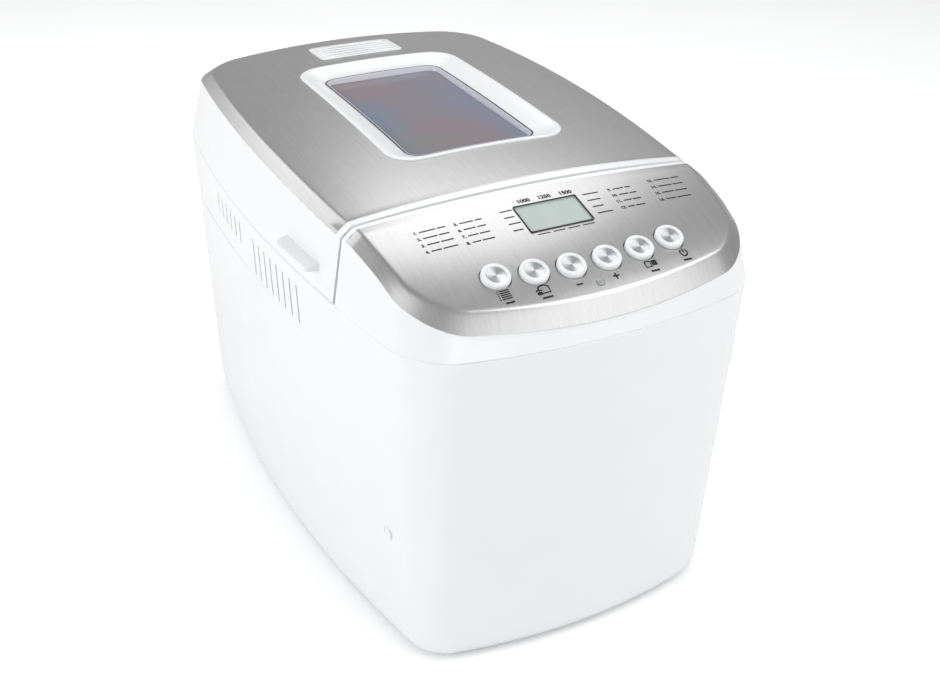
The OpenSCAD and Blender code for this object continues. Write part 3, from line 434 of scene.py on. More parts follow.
gland_bore = turned_ring([GLAND_BORE_R] * 2, [-0.015, 0.015], BORE_SIDES)[..., [0, 2, 1]] * (1, -1, 1)
bores = [plug_bore + place for place in PLUG_PLACES] + [gland_bore + GLAND_PLACE]
punched(lower_housing, *notches, *((bore, ring_faces(2, BORE_SIDES)) for bore in bores))

# ---- Base plate, feet, screws and cord gland ----
# A flat satin moulding closes the underside. It stands on four rubber pads, is held by six
# cross-head screws, and the mains lead would enter through a black gland low on the rear wall.


def dressed(finish, *names):
    """Gives CAD nodes a finish."""
    for name in names:
        for place in nodes[name].material_slots:
            place.material = finish.owner


def plain_finish(name, low, high, roughness, scale, depth, metallic=0.0, stretch=(1, 1, 1)):
    """A finish whose colour, roughness and surface vary a little with one noise."""
    made = Finish(name)
    cloud = made.noise(scale, stretch)
    made.set(Base_Color=made.mix(cloud, (*low, 1), (*high, 1)), Roughness=cloud * 0.12 + roughness,
             Metallic=metallic, Normal=made.bump(cloud, depth))
    return made


white_satin = plain_finish("white_satin_plastic", (0.74, 0.75, 0.755), (0.79, 0.80, 0.80), 0.42, 900, 0.00003)
rubber_black = plain_finish("black_rubber", (0.018, 0.018, 0.019), (0.035, 0.035, 0.036), 0.65, 600, 0.0001)
zinc_plate = plain_finish("zinc_plating", (0.52, 0.53, 0.54), (0.63, 0.63, 0.62), 0.28, 300, 0.00002, 1.0)
dark_plastic = plain_finish("dark_plastic", (0.022, 0.024, 0.027), (0.034, 0.036, 0.040), 0.33, 800, 0.00003)
dressed(white_satin, "base_plate")
dressed(rubber_black, "feet")
dressed(zinc_plate, "base_screws")
dressed(dark_plastic, "mains_gland")
dressed(white_gloss, "screw_plugs")

# ---- Chassis, motor and belt drive ----
# A pressed zinc-plated plate carries the cast bearing, the motor on its bracket and the circuit
# board. A rubber belt runs from the motor's small pulley to the large black one under the pan.

cast_alloy = plain_finish("cast_alloy", (0.46, 0.47, 0.48), (0.56, 0.57, 0.58), 0.45, 250, 0.0002, 1.0)
sheet_steel = plain_finish("sheet_steel", (0.50, 0.50, 0.50), (0.60, 0.60, 0.595), 0.30, 60, 0.00003, 1.0,
                           (1, 1, 8))
circuit_board = plain_finish("circuit_board", (0.010, 0.075, 0.035), (0.016, 0.11, 0.05), 0.38, 220, 0.00005)
dressed(zinc_plate, "chassis_plate", "motor_bracket", "motor_pulley", "drive_coupling")
dressed(cast_alloy, "bearing_housing", "motor")
dressed(rubber_black, "drive_belt")
dressed(circuit_board, "power_board")
dressed(sheet_steel, "drive_shaft")
dressed(dark_plastic, "drive_pulley")

# ---- Deck, hinge ears and baking chamber ----
# A satin white deck closes the housing round a folded sheet-steel chamber, which holds the sheathed
# heating element with its ceramic bushings, the temperature probe and the pan's seat.

element_sheath = plain_finish("element_sheath", (0.07, 0.065, 0.06), (0.13, 0.12, 0.11), 0.42, 200, 0.00005,
                              0.8)
ceramic = plain_finish("white_ceramic", (0.72, 0.71, 0.68), (0.79, 0.78, 0.75), 0.22, 300, 0.00004)
dressed(white_satin, "top_deck", "hinge_brackets")
dressed(zinc_plate, "hinge_pins", "temperature_sensor")
dressed(sheet_steel, "baking_chamber", "pan_seat")
dressed(element_sheath, "heating_element")
dressed(ceramic, "heater_terminals")

# ---- Control housing ----
# The white upper front of the machine: walls that rise from the seam to a sloping rim, a narrow lip
# along the rear edge, and a recess under the metal panel with holes for the keys and the display.

SKIN_Y = -0.1069
GAP_Y = -0.1132
PANEL_Y = -0.1179
HALF_GAP = 0.0011
SKIN_T = 0.0008
LID_FRONT_Z = 0.2685
LID_RISE = 0.0725
LID_CURVE = -0.204
PANEL_FALL = (0.201, 0.342, 10.3)
PANEL_SLOPE = (0.201, 0.684, 31.0)
PANEL_CROWN = 0.27
LID_CROWN = 0.58
LID_CROWN_EASE = 0.233
CROWN_TURN = (-0.125, -0.105)
RIM_DROP = 0.0057
RIM_DEEPENS = (-0.150, -0.200)
RIM_SOFTNESS = 0.012
RIM_STEPS = (1, 0.97, 0.85, 0.6, 0.35, 0.2, 0.1, 0, -0.1, -0.25)
FIELD_FACTORS = np.r_[0.985, 0.965, 0.945, np.linspace(0.92, 0.05, 24)]
SKIN_CLEAR = 0.00005
EDGE = SEAM + (-0.0045, -0.0033, -0.018, 0.0014, -0.0039, 0, 0, -0.048)
CREST = EDGE - (0.0061, 0.0052, 0.0079, 0.003, 0.0005, 0.001, 0.0005, 0)
PANEL_CENTRE_Y = -0.155
EDGE_BREAK = 0.0004
KEY_X = np.array([-0.0532, -0.0322, -0.0108, 0.0108, 0.0322, 0.0532])
KEY_Y = np.array([-0.1768, -0.1796, -0.1812, -0.1812, -0.1796, -0.1768])
KEY_BORE_R = 0.0087
KEY_BORE_SIDES = 64
LENS_BORE_SIDES = 32
CUT_REACH = 0.012
PLANE_Y = -0.180
LENS_Y = -0.1937
LENS_BORE_R = 0.00255
DISPLAY_Y = -0.1428
DISPLAY_HOLE = (0.0193, 0.0110)


def top_z(x, y):
    """Height of the crowned top: a rise behind the lid's front edge that eases off, a cubic fall in
    front of it, less a parabola across the width that is flatter on the panel."""
    d = SKIN_Y - y
    fall = PANEL_FALL[0] * d + PANEL_FALL[1] * d ** 2 + PANEL_FALL[2] * d ** 3
    turning = np.clip((y - CROWN_TURN[0]) / (CROWN_TURN[1] - CROWN_TURN[0]), 0, 1)
    crown = np.where(y < CROWN_TURN[1], PANEL_CROWN + (LID_CROWN - PANEL_CROWN) * turning,
                     LID_CROWN - LID_CROWN_EASE * (y - CROWN_TURN[1]))
    return LID_FRONT_Z - np.where(d > 0, fall, (LID_RISE - LID_CURVE * d) * d) - crown * x ** 2


def top_tilt(y):
    """Angle of the top's centre line, from the slope of the panel's cubic or of the lid's rise."""
    d = SKIN_Y - y
    slope = PANEL_SLOPE[0] + PANEL_SLOPE[1] * d + PANEL_SLOPE[2] * d * d
    return np.arctan(slope if d > 0 else LID_RISE - 2 * LID_CURVE * d)


def rim_drop(y):
    """Height lost across the rim: even along the sides, and up to twice as much round the front."""
    return RIM_DROP * (1 + np.clip((RIM_DEEPENS[0] - y) / (RIM_DEEPENS[0] - RIM_DEEPENS[1]), 0, 1))


def softened(s):
    """Fall across the rim as a share: nothing inside the crest, one at the edge, round in between."""
    return (s + np.sqrt(s * s + RIM_SOFTNESS)) / (1 + np.sqrt(1 + RIM_SOFTNESS))


def rim_rows(edge, crest, cut, steps, front):
    """Rings of the rim between crest (0) and edge (1), with the straight cut's edge broken. A point
    of the cut falls by its own place across the rim."""
    s = np.reshape(steps, (-1, 1))
    y = cut + (-1 if front else 1) * EDGE_BREAK * (1 - np.clip(s, 0, 1))
    ends = {"high": y} if front else {"low": y}
    edge_x, edge_y = half_outline(np.repeat(edge[None], len(s), 0), **ends)
    crest_x, crest_y = half_outline(np.repeat(crest[None], len(s), 0), **ends)
    x = crest_x + (edge_x - crest_x) * s
    y = crest_y + (edge_y - crest_y) * s
    straight = np.isclose(edge_y, y[:, -1:] if front else y[:, :1], atol=1e-9)
    corner = -1 if front else 0
    edge_corner = np.where(straight, edge_x, 0).max(axis=1, keepdims=True)
    crest_corner = np.where(straight, crest_x, 0).max(axis=1, keepdims=True)
    across = np.where(straight, (x - crest_corner) / (edge_corner - crest_corner), s)
    broken = np.where(straight, EDGE_BREAK * (1 - np.sqrt(1 - np.clip(s, 0, 1) ** 2)), 0)
    fall = softened(across)
    held_x = x - np.where(straight, edge_corner - crest_corner, edge_x - crest_x) * fall
    held_y = y - np.where(straight, 0, edge_y - crest_y) * fall
    return x, y, top_z(held_x, held_y) - rim_drop(held_y) * fall - broken


def field_rows(rim, centre_y, factors):
    """Rings inside the rim's innermost one, shrunk about a centre and laid on the crowned top, with
    what the innermost one still falls fading out."""
    x, y, z = (part[-1:] for part in rim)
    left_over = top_z(x, y) - z
    f = np.reshape(factors, (-1, 1))
    in_x, in_y = x * f, centre_y + (y - centre_y) * f
    return in_x, in_y, top_z(in_x, in_y) - left_over * np.clip((f - 0.9) / 0.1, 0, 1)


def crowned_rings(edge, crest, cut, centre_y, front, down=0.0, steps=RIM_STEPS):
    """Whole rings of the top from the outer edge in to the centre, lowered by a distance."""
    rim = rim_rows(edge, crest, cut, np.array(steps), front)
    field = field_rows(rim, centre_y, FIELD_FACTORS)
    return whole(*(np.vstack(parts) for parts in zip(rim, field))) - (0, 0, down)


def tilted(points, y):
    """Points in the plane that touches the top at a place on the centre line."""
    angle = top_tilt(y)
    p = np.asarray(points, float)
    return np.stack([p[..., 0], y + p[..., 1] * np.cos(angle) - p[..., 2] * np.sin(angle),
                     top_z(0.0, y) + p[..., 1] * np.sin(angle) + p[..., 2] * np.cos(angle)], axis=-1)


def laid(points, y):
    """Points that are laid on the top itself: their plan is tilted like the plane at y, and their
    height is counted from the top's surface."""
    p = np.asarray(points, float)
    place_y = y + p[..., 1] * np.cos(top_tilt(y))
    return np.stack([p[..., 0], place_y, top_z(p[..., 0], place_y) + p[..., 2]], axis=-1)


def rounded_rings(half_w, half_l, radius, height, corner=10, sides=6):
    """Rings that are rounded rectangles, anticlockwise, one for each row of sizes and height."""
    w, l, r, z = (np.reshape(value, (-1, 1)) + 0 * np.reshape(height, (-1, 1))
                  for value in (half_w, half_l, radius, height))
    turn = np.linspace(0, np.pi / 2, corner)
    run = np.linspace(0, 1, sides, endpoint=False)[1:]
    side_y = -(l - r) + 2 * (l - r) * run
    quarter_x = w - r + r * np.cos(turn)
    quarter_y = l - r + r * np.sin(turn)
    end_x = (w - r) - 2 * (w - r) * run
    half_x = np.hstack([w + 0 * side_y, quarter_x, end_x, -quarter_x[:, ::-1]])
    half_y = np.hstack([side_y, quarter_y, l + 0 * end_x, quarter_y[:, ::-1]])
    x = np.hstack([half_x, -half_x])
    y = np.hstack([half_y, -half_y])
    return np.stack([x, y, z + 0 * x], axis=-1)


def plane_place(x, y):
    """Where a point of the top lies in the tilted plane of the keys."""
    angle = top_tilt(PLANE_Y)
    d = y - PLANE_Y
    h = top_z(x, y) - top_z(0.0, PLANE_Y)
    return np.array([x, d * np.cos(angle) + h * np.sin(angle), h * np.cos(angle) - d * np.sin(angle)])


KEY_PLACES = [plane_place(x, y) for x, y in zip(KEY_X, KEY_Y)]
LENS_PLACE = plane_place(0.0, LENS_Y)
key_bore = turned_ring([KEY_BORE_R] * 2, [-CUT_REACH, CUT_REACH], KEY_BORE_SIDES)
lens_bore = turned_ring([LENS_BORE_R] * 2, [-CUT_REACH, CUT_REACH], LENS_BORE_SIDES)
display_hole = rounded_rings(*DISPLAY_HOLE, 0.001, [-CUT_REACH, CUT_REACH], 4, 2)
panel_cutters = [(tilted(key_bore + place, PLANE_Y), ring_faces(2, KEY_BORE_SIDES)) for place in KEY_PLACES]
panel_cutters.append((tilted(lens_bore + LENS_PLACE, PLANE_Y), ring_faces(2, LENS_BORE_SIDES)))
panel_cutters.append((tilted(display_hole, DISPLAY_Y), ring_faces(2, display_hole.shape[1])))


def upper_shell(section, edge, crest, cut, lip_cut, centre_y, front, bottom):
    """Rings of a thin shell: its recessed top, the lip along the cut, the rim's edge, the side wall,
    and the same again inside."""
    step = -1 if front else 1
    way = "high" if front else "low"
    recess = crowned_rings(edge, crest, lip_cut, centre_y, front, SKIN_T + SKIN_CLEAR,
                           steps=(0.995, 0.8, 0.5, 0.2, 0, -0.25))[::-1]
    lip = crowned_rings(edge, crest, lip_cut, centre_y, front, 0.0, steps=(0.998,))[:1]
    rim = crowned_rings(edge, crest, cut, centre_y, front, 0.0, steps=(0.999,))[:1]
    shares = np.array([0.75, 0.5, 0.25, 0.0])
    top_row = whole(*rim_rows(edge, crest, cut, np.array([1.0]), front)) - (0, 0, EDGE_BREAK)
    low_row = whole(*half_outline(section, **{way: cut}), bottom + GROOVE)
    wall = low_row + (top_row - low_row) * shares[:, None, None]
    foot = whole(*half_outline(drawn_in(section, GROOVE), **{way: cut}), bottom)
    inner_cut = cut + step * WALL
    inner_top = crowned_rings(drawn_in(edge, WALL)[0], drawn_in(crest, WALL)[0], inner_cut, centre_y, front,
                              WALL + SKIN_T, steps=(1, 0.5, 0, -0.25))
    inner_low = whole(*half_outline(drawn_in(section, WALL + GROOVE), **{way: inner_cut}), bottom)
    rows = [recess, lip, rim, top_row, wall, foot, inner_low, inner_top]
    return np.concatenate(rows)[::-1]


control_rings = upper_shell(SEAM, EDGE, CREST, GAP_Y - HALF_GAP, PANEL_Y + HAIR, PANEL_CENTRE_Y, True,
                            SEAM_Z)
control_housing = piece("control_housing_shell", control_rings, ring_faces(*control_rings.shape[:2]),
                        white_gloss, "base", ("control_housing",))
punched(control_housing, *panel_cutters)

# ---- Control panel ----
# A thin stainless skin pressed to the same crown and rim as the housing under it, brushed from front
# to rear, with holes for the keys, the indicator and the display.

brushed_steel = Finish("brushed_steel")
strokes = brushed_steel.noise(1.0, (3200, 90, 90), 2.0)
bands = brushed_steel.noise(1.0, (700, 14, 30), 2.0)
brushed_steel.set(
    Base_Color=brushed_steel.mix((strokes * 0.6 + bands * 0.4 - 0.25) * 2.0,
                                 (0.45, 0.45, 0.455, 1), (0.55, 0.55, 0.55, 1)),
    Metallic=1.0, Roughness=strokes * 0.10 + 0.27, Normal=brushed_steel.bump(strokes, 0.00001))


def skin_rings(cut, centre_y, front):
    """Rings of a closed metal skin: its upper face out to the rim, and its lower face back in."""
    upper = crowned_rings(EDGE, CREST, cut, centre_y, front)
    lower = crowned_rings(EDGE, CREST, cut, centre_y, front, SKIN_T, (0.998, 0.6, 0.2, 0, -0.25))
    return np.concatenate([lower[::-1], upper])


panel_rings = skin_rings(PANEL_Y, PANEL_CENTRE_Y, True)
control_panel = piece("control_panel_skin", panel_rings, ring_faces(*panel_rings.shape[:2]),
                      brushed_steel, "base", ("control_panel",))
punched(control_panel, *panel_cutters)

# ---- Keys ----
# Six round keys in a shallow arc. Each is a white cap with a rounded rim and a dished disc of spun
# metal let into it, whose colour carries a painted highlight: two opposite sectors painted bright and
# the two between painted dark.

MM = 0.001
KEYS = ("menu", "weight", "minus", "plus", "crust", "start")
CAP_R = np.array([0, 2.0, 2.0, 7.0, 7.8, 8.1, 8.1, 8.0, 7.75, 7.4, 7.0, 6.7, 6.4, 6.2, 6.0, 5.85, 5.7, 5.58,
                  5.58, 0]) * MM
CAP_H = np.array([-4, -4, -3.7, -3.2, 1.6, 2.05, 2.55, 2.9, 3.08, 3.13, 3.1, 3.03, 2.92, 2.82, 2.6, 2.35,
                  1.6, 1.6]) * MM
CAP_SIDES = 56
PIN_R = 0.0001
STEM_END = -0.0086
DISC_R = 0.0055
DISC_SEAT = 0.0016
DISC_EDGE = 0.0023
DISC_LOW = 0.00223
DISC_DISH = 0.00022
DISC_SIDES = 40
PAINTED_SHEEN_DIRECTION = "turning"
spun_metal = Finish("spun_metal")
flecks = spun_metal.noise(900.0)
round_place = spun_metal.node("ShaderNodeAttribute", {"attribute_name": PAINTED_SHEEN_DIRECTION}, "Vector")
round_parts = {axis: spun_metal.node("ShaderNodeSeparateXYZ", None, axis, {"Vector": round_place})
               for axis in "XY"}
# Painted highlight: the product of the outward direction's two parts paints two opposite sectors bright and
# the two between dark, standing in for the spun metal's reflection
painted_sheen_sector = (round_parts["X"] * round_parts["Y"] * 1.3 + flecks * 0.3 + 0.35).clamped()
spun_metal.set(Base_Color=spun_metal.mix(painted_sheen_sector, (0.93, 0.94, 0.95, 1), (0.36, 0.38, 0.41, 1)),
               Metallic=0.6, Roughness=flecks * 0.04 + 0.30)
disc_step = np.linspace(DISC_R - 0.0003, 0.00012, 12)
disc_r = np.r_[DISC_R, DISC_R, disc_step]
disc_h = np.r_[DISC_SEAT, DISC_EDGE, DISC_LOW + DISC_DISH * (disc_step / DISC_R) ** 2]
disc_turn = 2 * np.pi * np.arange(DISC_SIDES) / DISC_SIDES
outward = np.tile([np.cos(disc_turn), np.sin(disc_turn), 0 * disc_turn], len(disc_r)).T
for key, place in zip(KEYS, KEY_PLACES):
    stem = STEM_END - place[2]
    cap = turned_ring(np.maximum(CAP_R, PIN_R), np.r_[stem, stem, CAP_H], CAP_SIDES) + place
    piece(f"{key}_key_cap", tilted(cap, PLANE_Y), ring_faces(len(CAP_R), CAP_SIDES), white_gloss,
          f"{key}_key", (f"{key}_button",))
    disc = turned_ring(disc_r, disc_h, DISC_SIDES) + place
    made = piece(f"{key}_key_disc", tilted(disc, PLANE_Y), ring_faces(len(disc_r), DISC_SIDES), spun_metal,
                 f"{key}_key", (f"{key}_disc",), sharp=60)
    # Each point of the disc keeps its outward direction, which places the painted highlight's sectors
    turning = made.data.attributes.new(PAINTED_SHEEN_DIRECTION, "FLOAT_VECTOR", "POINT")
    turning.data.foreach_set("vector", outward.ravel())

# ---- Display, indicator and key board ----
# A dark bezel frames the grey-green liquid crystal, a clear pip covers the indicator, and the green
# board with its six switches lies under the keys.

display_glass = Finish("liquid_crystal")
sheen_cloud = display_glass.noise(70.0, detail=1.0)
display_glass.set(Base_Color=display_glass.mix(sheen_cloud, (0.34, 0.43, 0.39, 1), (0.45, 0.50, 0.49, 1)),
                  Roughness=sheen_cloud * 0.05 + 0.16)
lens_clear = Finish("clear_lens")
lens_cloud = lens_clear.noise(500.0)
lens_clear.set(Base_Color=lens_clear.mix(lens_cloud, (0.72, 0.75, 0.78, 1), (0.80, 0.82, 0.84, 1)),
               Roughness=lens_cloud * 0.05 + 0.05, Transmission_Weight=0.6)
bezel_sizes = np.array([[19.2, 10.9, 1.2, -5.0], [19.9, 11.6, 1.2, -0.2], [19.9, 11.6, 1.2, 0.35],
                        [19.8, 11.5, 1.1, 0.45], [19.5, 11.2, 0.9, 0.45], [19.35, 11.05, 0.8, 0.35],
                        [19.35, 11.05, 0.8, -0.7], [18.7, 10.4, 0.6, -5.0]]) * MM
pane_sizes = np.array([[6, 4, 1, -5], [18.6, 10.3, 0.6, -5], [19.3, 11.0, 0.6, -0.6], [6, 4, 1, -0.6]]) * MM
bezel = rounded_rings(*bezel_sizes.T, 6, 4)
pane = rounded_rings(*pane_sizes.T, 6, 4)
piece("display_bezel_frame", tilted(bezel, DISPLAY_Y), ring_faces(*bezel.shape[:2], loop=True),
      dark_plastic, "base", ("display_bezel",))
piece("display_crystal", tilted(pane, DISPLAY_Y), ring_faces(*pane.shape[:2]), display_glass,
      "base", ("display_window",))
dressed(circuit_board, "control_board")
pip_r = np.array([0.1, 2.5, 2.5, 2.4, 2.0, 1.4, 0.7, 0.1]) * MM
pip_h = np.array([-5, -5, 0.3, 0.6, 0.9, 1.15, 1.25, 1.28]) * MM
pip = turned_ring(pip_r, pip_h, 40) + LENS_PLACE
piece("indicator_pip", tilted(pip, PLANE_Y), ring_faces(*pip.shape[:2]), lens_clear, "base",
      ("indicator_lens",))

# ---- Panel printing ----
# Thin dark ink on the steel: four numbered lists and the marks round the display, with plain bars
# for their words, and an icon under each key. It follows the panel's surface.

INK_LIFT = 0.00005
ROW_COUNT = 4
LISTS = (((-0.0800, -0.1343), (-0.0799, -0.1499), 0.0170), ((-0.0566, -0.1349), (-0.0566, -0.1508), 0.0145),
         ((0.0407, -0.1328), (0.0396, -0.1490), 0.0125), ((0.0682, -0.1312), (0.0657, -0.1483), 0.0190))
WEIGHTS = {"1000": -0.0150, "1250": -0.0020, "1500": 0.0115}
WEIGHT_Y = -0.1293
printed_ink = plain_finish("printed_ink", (0.006, 0.006, 0.007), (0.010, 0.010, 0.011), 0.6, 900, 0.00001)
ink = []


def bar(x, y, length, height=0.0009):
    """A plain printed bar that starts at a place on the panel."""
    ink.append(np.array([(x, y - height / 2), (x + length, y - height / 2), (x + length, y + height / 2),
                         (x, y + height / 2)]))


def stroke(path, width=0.0009):
    """A printed line of even width along a path."""
    path = np.array(path)
    along = np.gradient(path, axis=0)
    side = np.c_[-along[:, 1], along[:, 0]] * (width / 2 / np.hypot(*along.T))[:, None]
    for i in range(len(path) - 1):
        ink.append(np.array([path[i] - side[i], path[i + 1] - side[i + 1],
                             path[i + 1] + side[i + 1], path[i] + side[i]]))


def figures(text, x, y, size):
    """Printed figures whose lower left corner is at a place on the panel."""
    curve = bpy.data.curves.new("figures", "FONT")
    curve.body = text
    curve.size = size
    curve.resolution_u = 3
    curve.offset = size * 0.05
    tool = bpy.data.objects.new("figures", curve)
    bpy.context.scene.collection.objects.link(tool)
    graph = bpy.context.evaluated_depsgraph_get()
    mesh = bpy.data.meshes.new_from_object(tool.evaluated_get(graph))
    for polygon in mesh.polygons:
        ink.append(np.array([mesh.vertices[k].co[:2] for k in polygon.vertices]) + (x, y))
    bpy.data.objects.remove(tool)
    bpy.data.curves.remove(curve)
    bpy.data.meshes.remove(mesh)


# Four numbered lists
for group, (top_place, low_place, length) in enumerate(LISTS):
    for row in range(ROW_COUNT):
        x, y = np.array(top_place) + (np.array(low_place) - top_place) * row / (ROW_COUNT - 1)
        number = group * ROW_COUNT + row + 1
        start = x + 0.0018 + 0.0015 * len(str(number))
        first = length * (0.35 + 0.07 * (number * 3 % 4))
        figures(f"{number}.", x, y - 0.0010, 0.0030)
        bar(start, y, first)
        bar(start + first + 0.0009, y, length * 0.85 - first)
# Marks to the left, to the right and in front of the display, and the weights behind it
for row in range(ROW_COUNT):
    bar(-0.0283, -0.1334 - 0.0054 * row, 0.0074 - 0.0012 * (row % 2))
    bar(0.0243, -0.1328 - 0.0056 * row, 0.0098 - 0.0014 * (row % 3))
    bar(-0.0167 + 0.0092 * row, -0.1561, 0.0075, 0.0007)
for text, x in WEIGHTS.items():
    figures(text, x, WEIGHT_Y, 0.0041)
# A list of lines
for row in range(5):
    bar(-0.0570, -0.1853 - 0.0012 * row, 0.0006)
    bar(-0.0556, -0.1853 - 0.0012 * row, 0.0056, 0.0007)
bar(-0.0550, -0.1925, 0.0050, 0.0010)
# A loaf with a raised top, and a small loaf in front of it
arch = np.linspace(np.pi, 0, 13)
loaf_top = np.c_[-0.0320 + 0.0030 * np.cos(arch), -0.1893 + 0.0016 * np.sin(arch)]
stroke([(-0.0350, -0.1893), (-0.0350, -0.1922), (-0.0290, -0.1922), (-0.0290, -0.1893)])
stroke(loaf_top)
small_top = np.c_[-0.0350 + 0.0016 * np.cos(arch), -0.1908 + 0.0009 * np.sin(arch)]
stroke(small_top, 0.0008)
bar(-0.0366, -0.1920, 0.0030, 0.0018)
bar(-0.0350, -0.1948, 0.0060, 0.0011)
# Minus and plus
bar(-0.0137, -0.1922, 0.0038, 0.0010)
bar(0.0084, -0.1922, 0.0038, 0.0010)
stroke([(0.0103, -0.1941), (0.0103, -0.1903)], 0.0010)
# Two slices, the rear one filled
stroke([(0.0300, -0.1882), (0.0300, -0.1916), (0.0334, -0.1916), (0.0334, -0.1882), (0.0300, -0.1882)])
bar(0.0340, -0.1896, 0.0034, 0.0032)
bar(0.0312, -0.1942, 0.0054, 0.0011)
# Power: an open ring with a line through the gap
opening = np.radians(np.linspace(125, 415, 25))
stroke(np.c_[0.0563 + 0.0021 * np.cos(opening), -0.1873 + 0.0021 * np.sin(opening)])
stroke([(0.0563, -0.1872), (0.0563, -0.1846)])
bar(0.0536, -0.1918, 0.0052, 0.0011)
ink_xy = np.concatenate(ink)
ink_starts = np.cumsum([0] + [len(shape) for shape in ink])
ink_points = np.c_[ink_xy, top_z(ink_xy[:, 0], ink_xy[:, 1]) + INK_LIFT]
piece("panel_printing", ink_points, [list(range(low, high)) for low, high in zip(ink_starts, ink_starts[1:])],
      printed_ink, "base")

# ---- Lid ----
# A white shell closes over the chamber, with a lip along its front edge and a notch round each hinge
# at the rear. A brushed skin is let into its top, and both are open for the window and the vent.

LID_GAP = 0.0007
REAR_TRIM = np.array([0, 0, 0, 0, 0, 0, 0.0045, 0])
LID_SECTION = SEAM - REAR_TRIM
LID_CENTRE_Y = 0.045
WINDOW_Y = 0.0275
VENT_Y = 0.1486
FRAME_W = 0.0583
FRAME_L = 0.0902
FRAME_LAP = 0.0035
VENT_HOLE = (0.0285, 0.014)
LID_CUT_REACH = 0.016
LID_NOTCH_LOW = (-0.0176, 0.1968, 0.2152)
LID_NOTCH_HIGH = (0.0176, 0.2168, 0.2227)
lid_rows = upper_shell(LID_SECTION, EDGE, CREST, GAP_Y + HALF_GAP, SKIN_Y - HAIR, LID_CENTRE_Y, False,
                       SEAM_Z + LID_GAP)
lid_shell = piece("lid_shell_moulding", lid_rows, ring_faces(*lid_rows.shape[:2]), white_gloss,
                  "lid", ("lid_shell",))
window_hole = rounded_rings(FRAME_W - FRAME_LAP, FRAME_L - FRAME_LAP, 0.015, [-LID_CUT_REACH, LID_CUT_REACH])
vent_hole = rounded_rings(*VENT_HOLE, 0.003, [-LID_CUT_REACH, LID_CUT_REACH], 4, 2)
lid_cutters = [(tilted(window_hole, WINDOW_Y), ring_faces(2, window_hole.shape[1])),
               (tilted(vent_hole, VENT_Y), ring_faces(2, vent_hole.shape[1]))]
lid_notches = [box_shape(np.add((x, 0, 0), LID_NOTCH_LOW), np.add((x, 0, 0), LID_NOTCH_HIGH)) for x in HINGES]
punched(lid_shell, *lid_cutters, *lid_notches)
lid_skin_rings = skin_rings(SKIN_Y, LID_CENTRE_Y, False)
lid_skin = piece("lid_brushed_skin", lid_skin_rings, ring_faces(*lid_skin_rings.shape[:2]), brushed_steel,
                 "lid", ("lid_skin",))
punched(lid_skin, *lid_cutters)

# ---- Finger ledges ----
# A shelf moulded onto each side of the lid for the fingers, with a rounded lower edge. It swells
# from the wall at the rear and is cut off square in front.

LEDGE_REAR = -0.0490
LEDGE_FRONT = -0.0930
LEDGE_REACH = 0.0098
LEDGE_LOW = 0.2297
LEDGE_HIGH = 0.2333
SWELL_SHARE = 0.24
WALL_AT_LEDGE = (0.1226, 0.105, -0.051)
WALL_SINK = 0.003
FRONT_ROUND = 0.002
LOW_R = 0.0021
HIGH_R = 0.0008
along = (1 - np.cos(np.pi * np.linspace(0, 1, 34))) / 2
ledge_y = LEDGE_REAR + (LEDGE_FRONT - LEDGE_REAR) * along
swell = np.sqrt(1 - np.clip(1 - along / SWELL_SHARE, 0, 1) ** 2)
front_round = FRONT_ROUND * (1 - np.sqrt(1 - np.clip((along - 0.95) / 0.05, 0, 1) ** 2))
wall_x = WALL_AT_LEDGE[0] + WALL_AT_LEDGE[1] * (ledge_y - WALL_AT_LEDGE[2])
reach = wall_x + LEDGE_REACH * swell - front_round
low_arc = np.linspace(-np.pi / 2, 0, 9)
high_arc = np.linspace(0, np.pi / 2, 7)
ledge_x = np.hstack([wall_x[:, None] - WALL_SINK, reach[:, None] - LOW_R + LOW_R * np.cos(low_arc),
                     reach[:, None] - HIGH_R + HIGH_R * np.cos(high_arc), wall_x[:, None] - WALL_SINK])
ledge_z = np.r_[LEDGE_LOW, LEDGE_LOW + LOW_R + LOW_R * np.sin(low_arc),
                LEDGE_HIGH - HIGH_R + HIGH_R * np.sin(high_arc), LEDGE_HIGH]
ledge = np.stack([ledge_x, ledge_y[:, None] + 0 * ledge_x, ledge_z + 0 * ledge_x], axis=-1)
piece("right_finger_ledge", ledge, ring_faces(*ledge.shape[:2]), white_gloss, "lid")
piece("left_finger_ledge", ledge[:, ::-1] * (-1, 1, 1), ring_faces(*ledge.shape[:2]), white_gloss,
      "lid")

# ---- Window ----
# A white frame stands slightly proud of the skin and slopes down to a clear tray with upright
# sides and a dark edge. The tray's floor and the glass under it are tinted grey, with a faint
# rainbow sheen painted into their colour.

PANE_W = 0.0433
PANE_L = 0.0763
across = np.array([0, 0, 0.02, 0.05, 0.10, 0.25, 0.5, 0.75, 0.97, 1, 1, 0.35, 0.25])
proud = np.array([-0.4, 0.55, 0.85, 1.05, 1.10, 0.55, -1.0, -2.7, -4.3, -4.8, -8.0, -8.0, -0.4]) * MM
frame_rings = rounded_rings(FRAME_W + (PANE_W - FRAME_W) * across, FRAME_L + (PANE_L - FRAME_L) * across,
                            0.018 - 0.008 * across, proud, 14, 16)
piece("window_surround", laid(frame_rings, WINDOW_Y), ring_faces(*frame_rings.shape[:2], loop=True),
      white_gloss, "lid", ("window_frame",))


def clear_finish(name, low, high, transmission, roughness):
    """Clear or tinted glass whose tint drifts slowly between two colours."""
    made = Finish(name)
    drift = made.noise(16.0, detail=1.0)
    made.set(Base_Color=made.mix((drift - 0.3) * 2.5, (*low, 1), (*high, 1)),
             Roughness=drift * 0.04 + roughness, Transmission_Weight=transmission, IOR=1.46)
    return made


def tray_ring(widths, heights):
    """Rings of the tray at distances in from the opening's edge and heights above the lid, in mm."""
    w = PANE_W - np.array(widths) * MM
    return rounded_rings(w, w + PANE_L - PANE_W, np.maximum(w - PANE_W + 0.010, 0.004),
                         np.array(heights) * MM, 14, 16)


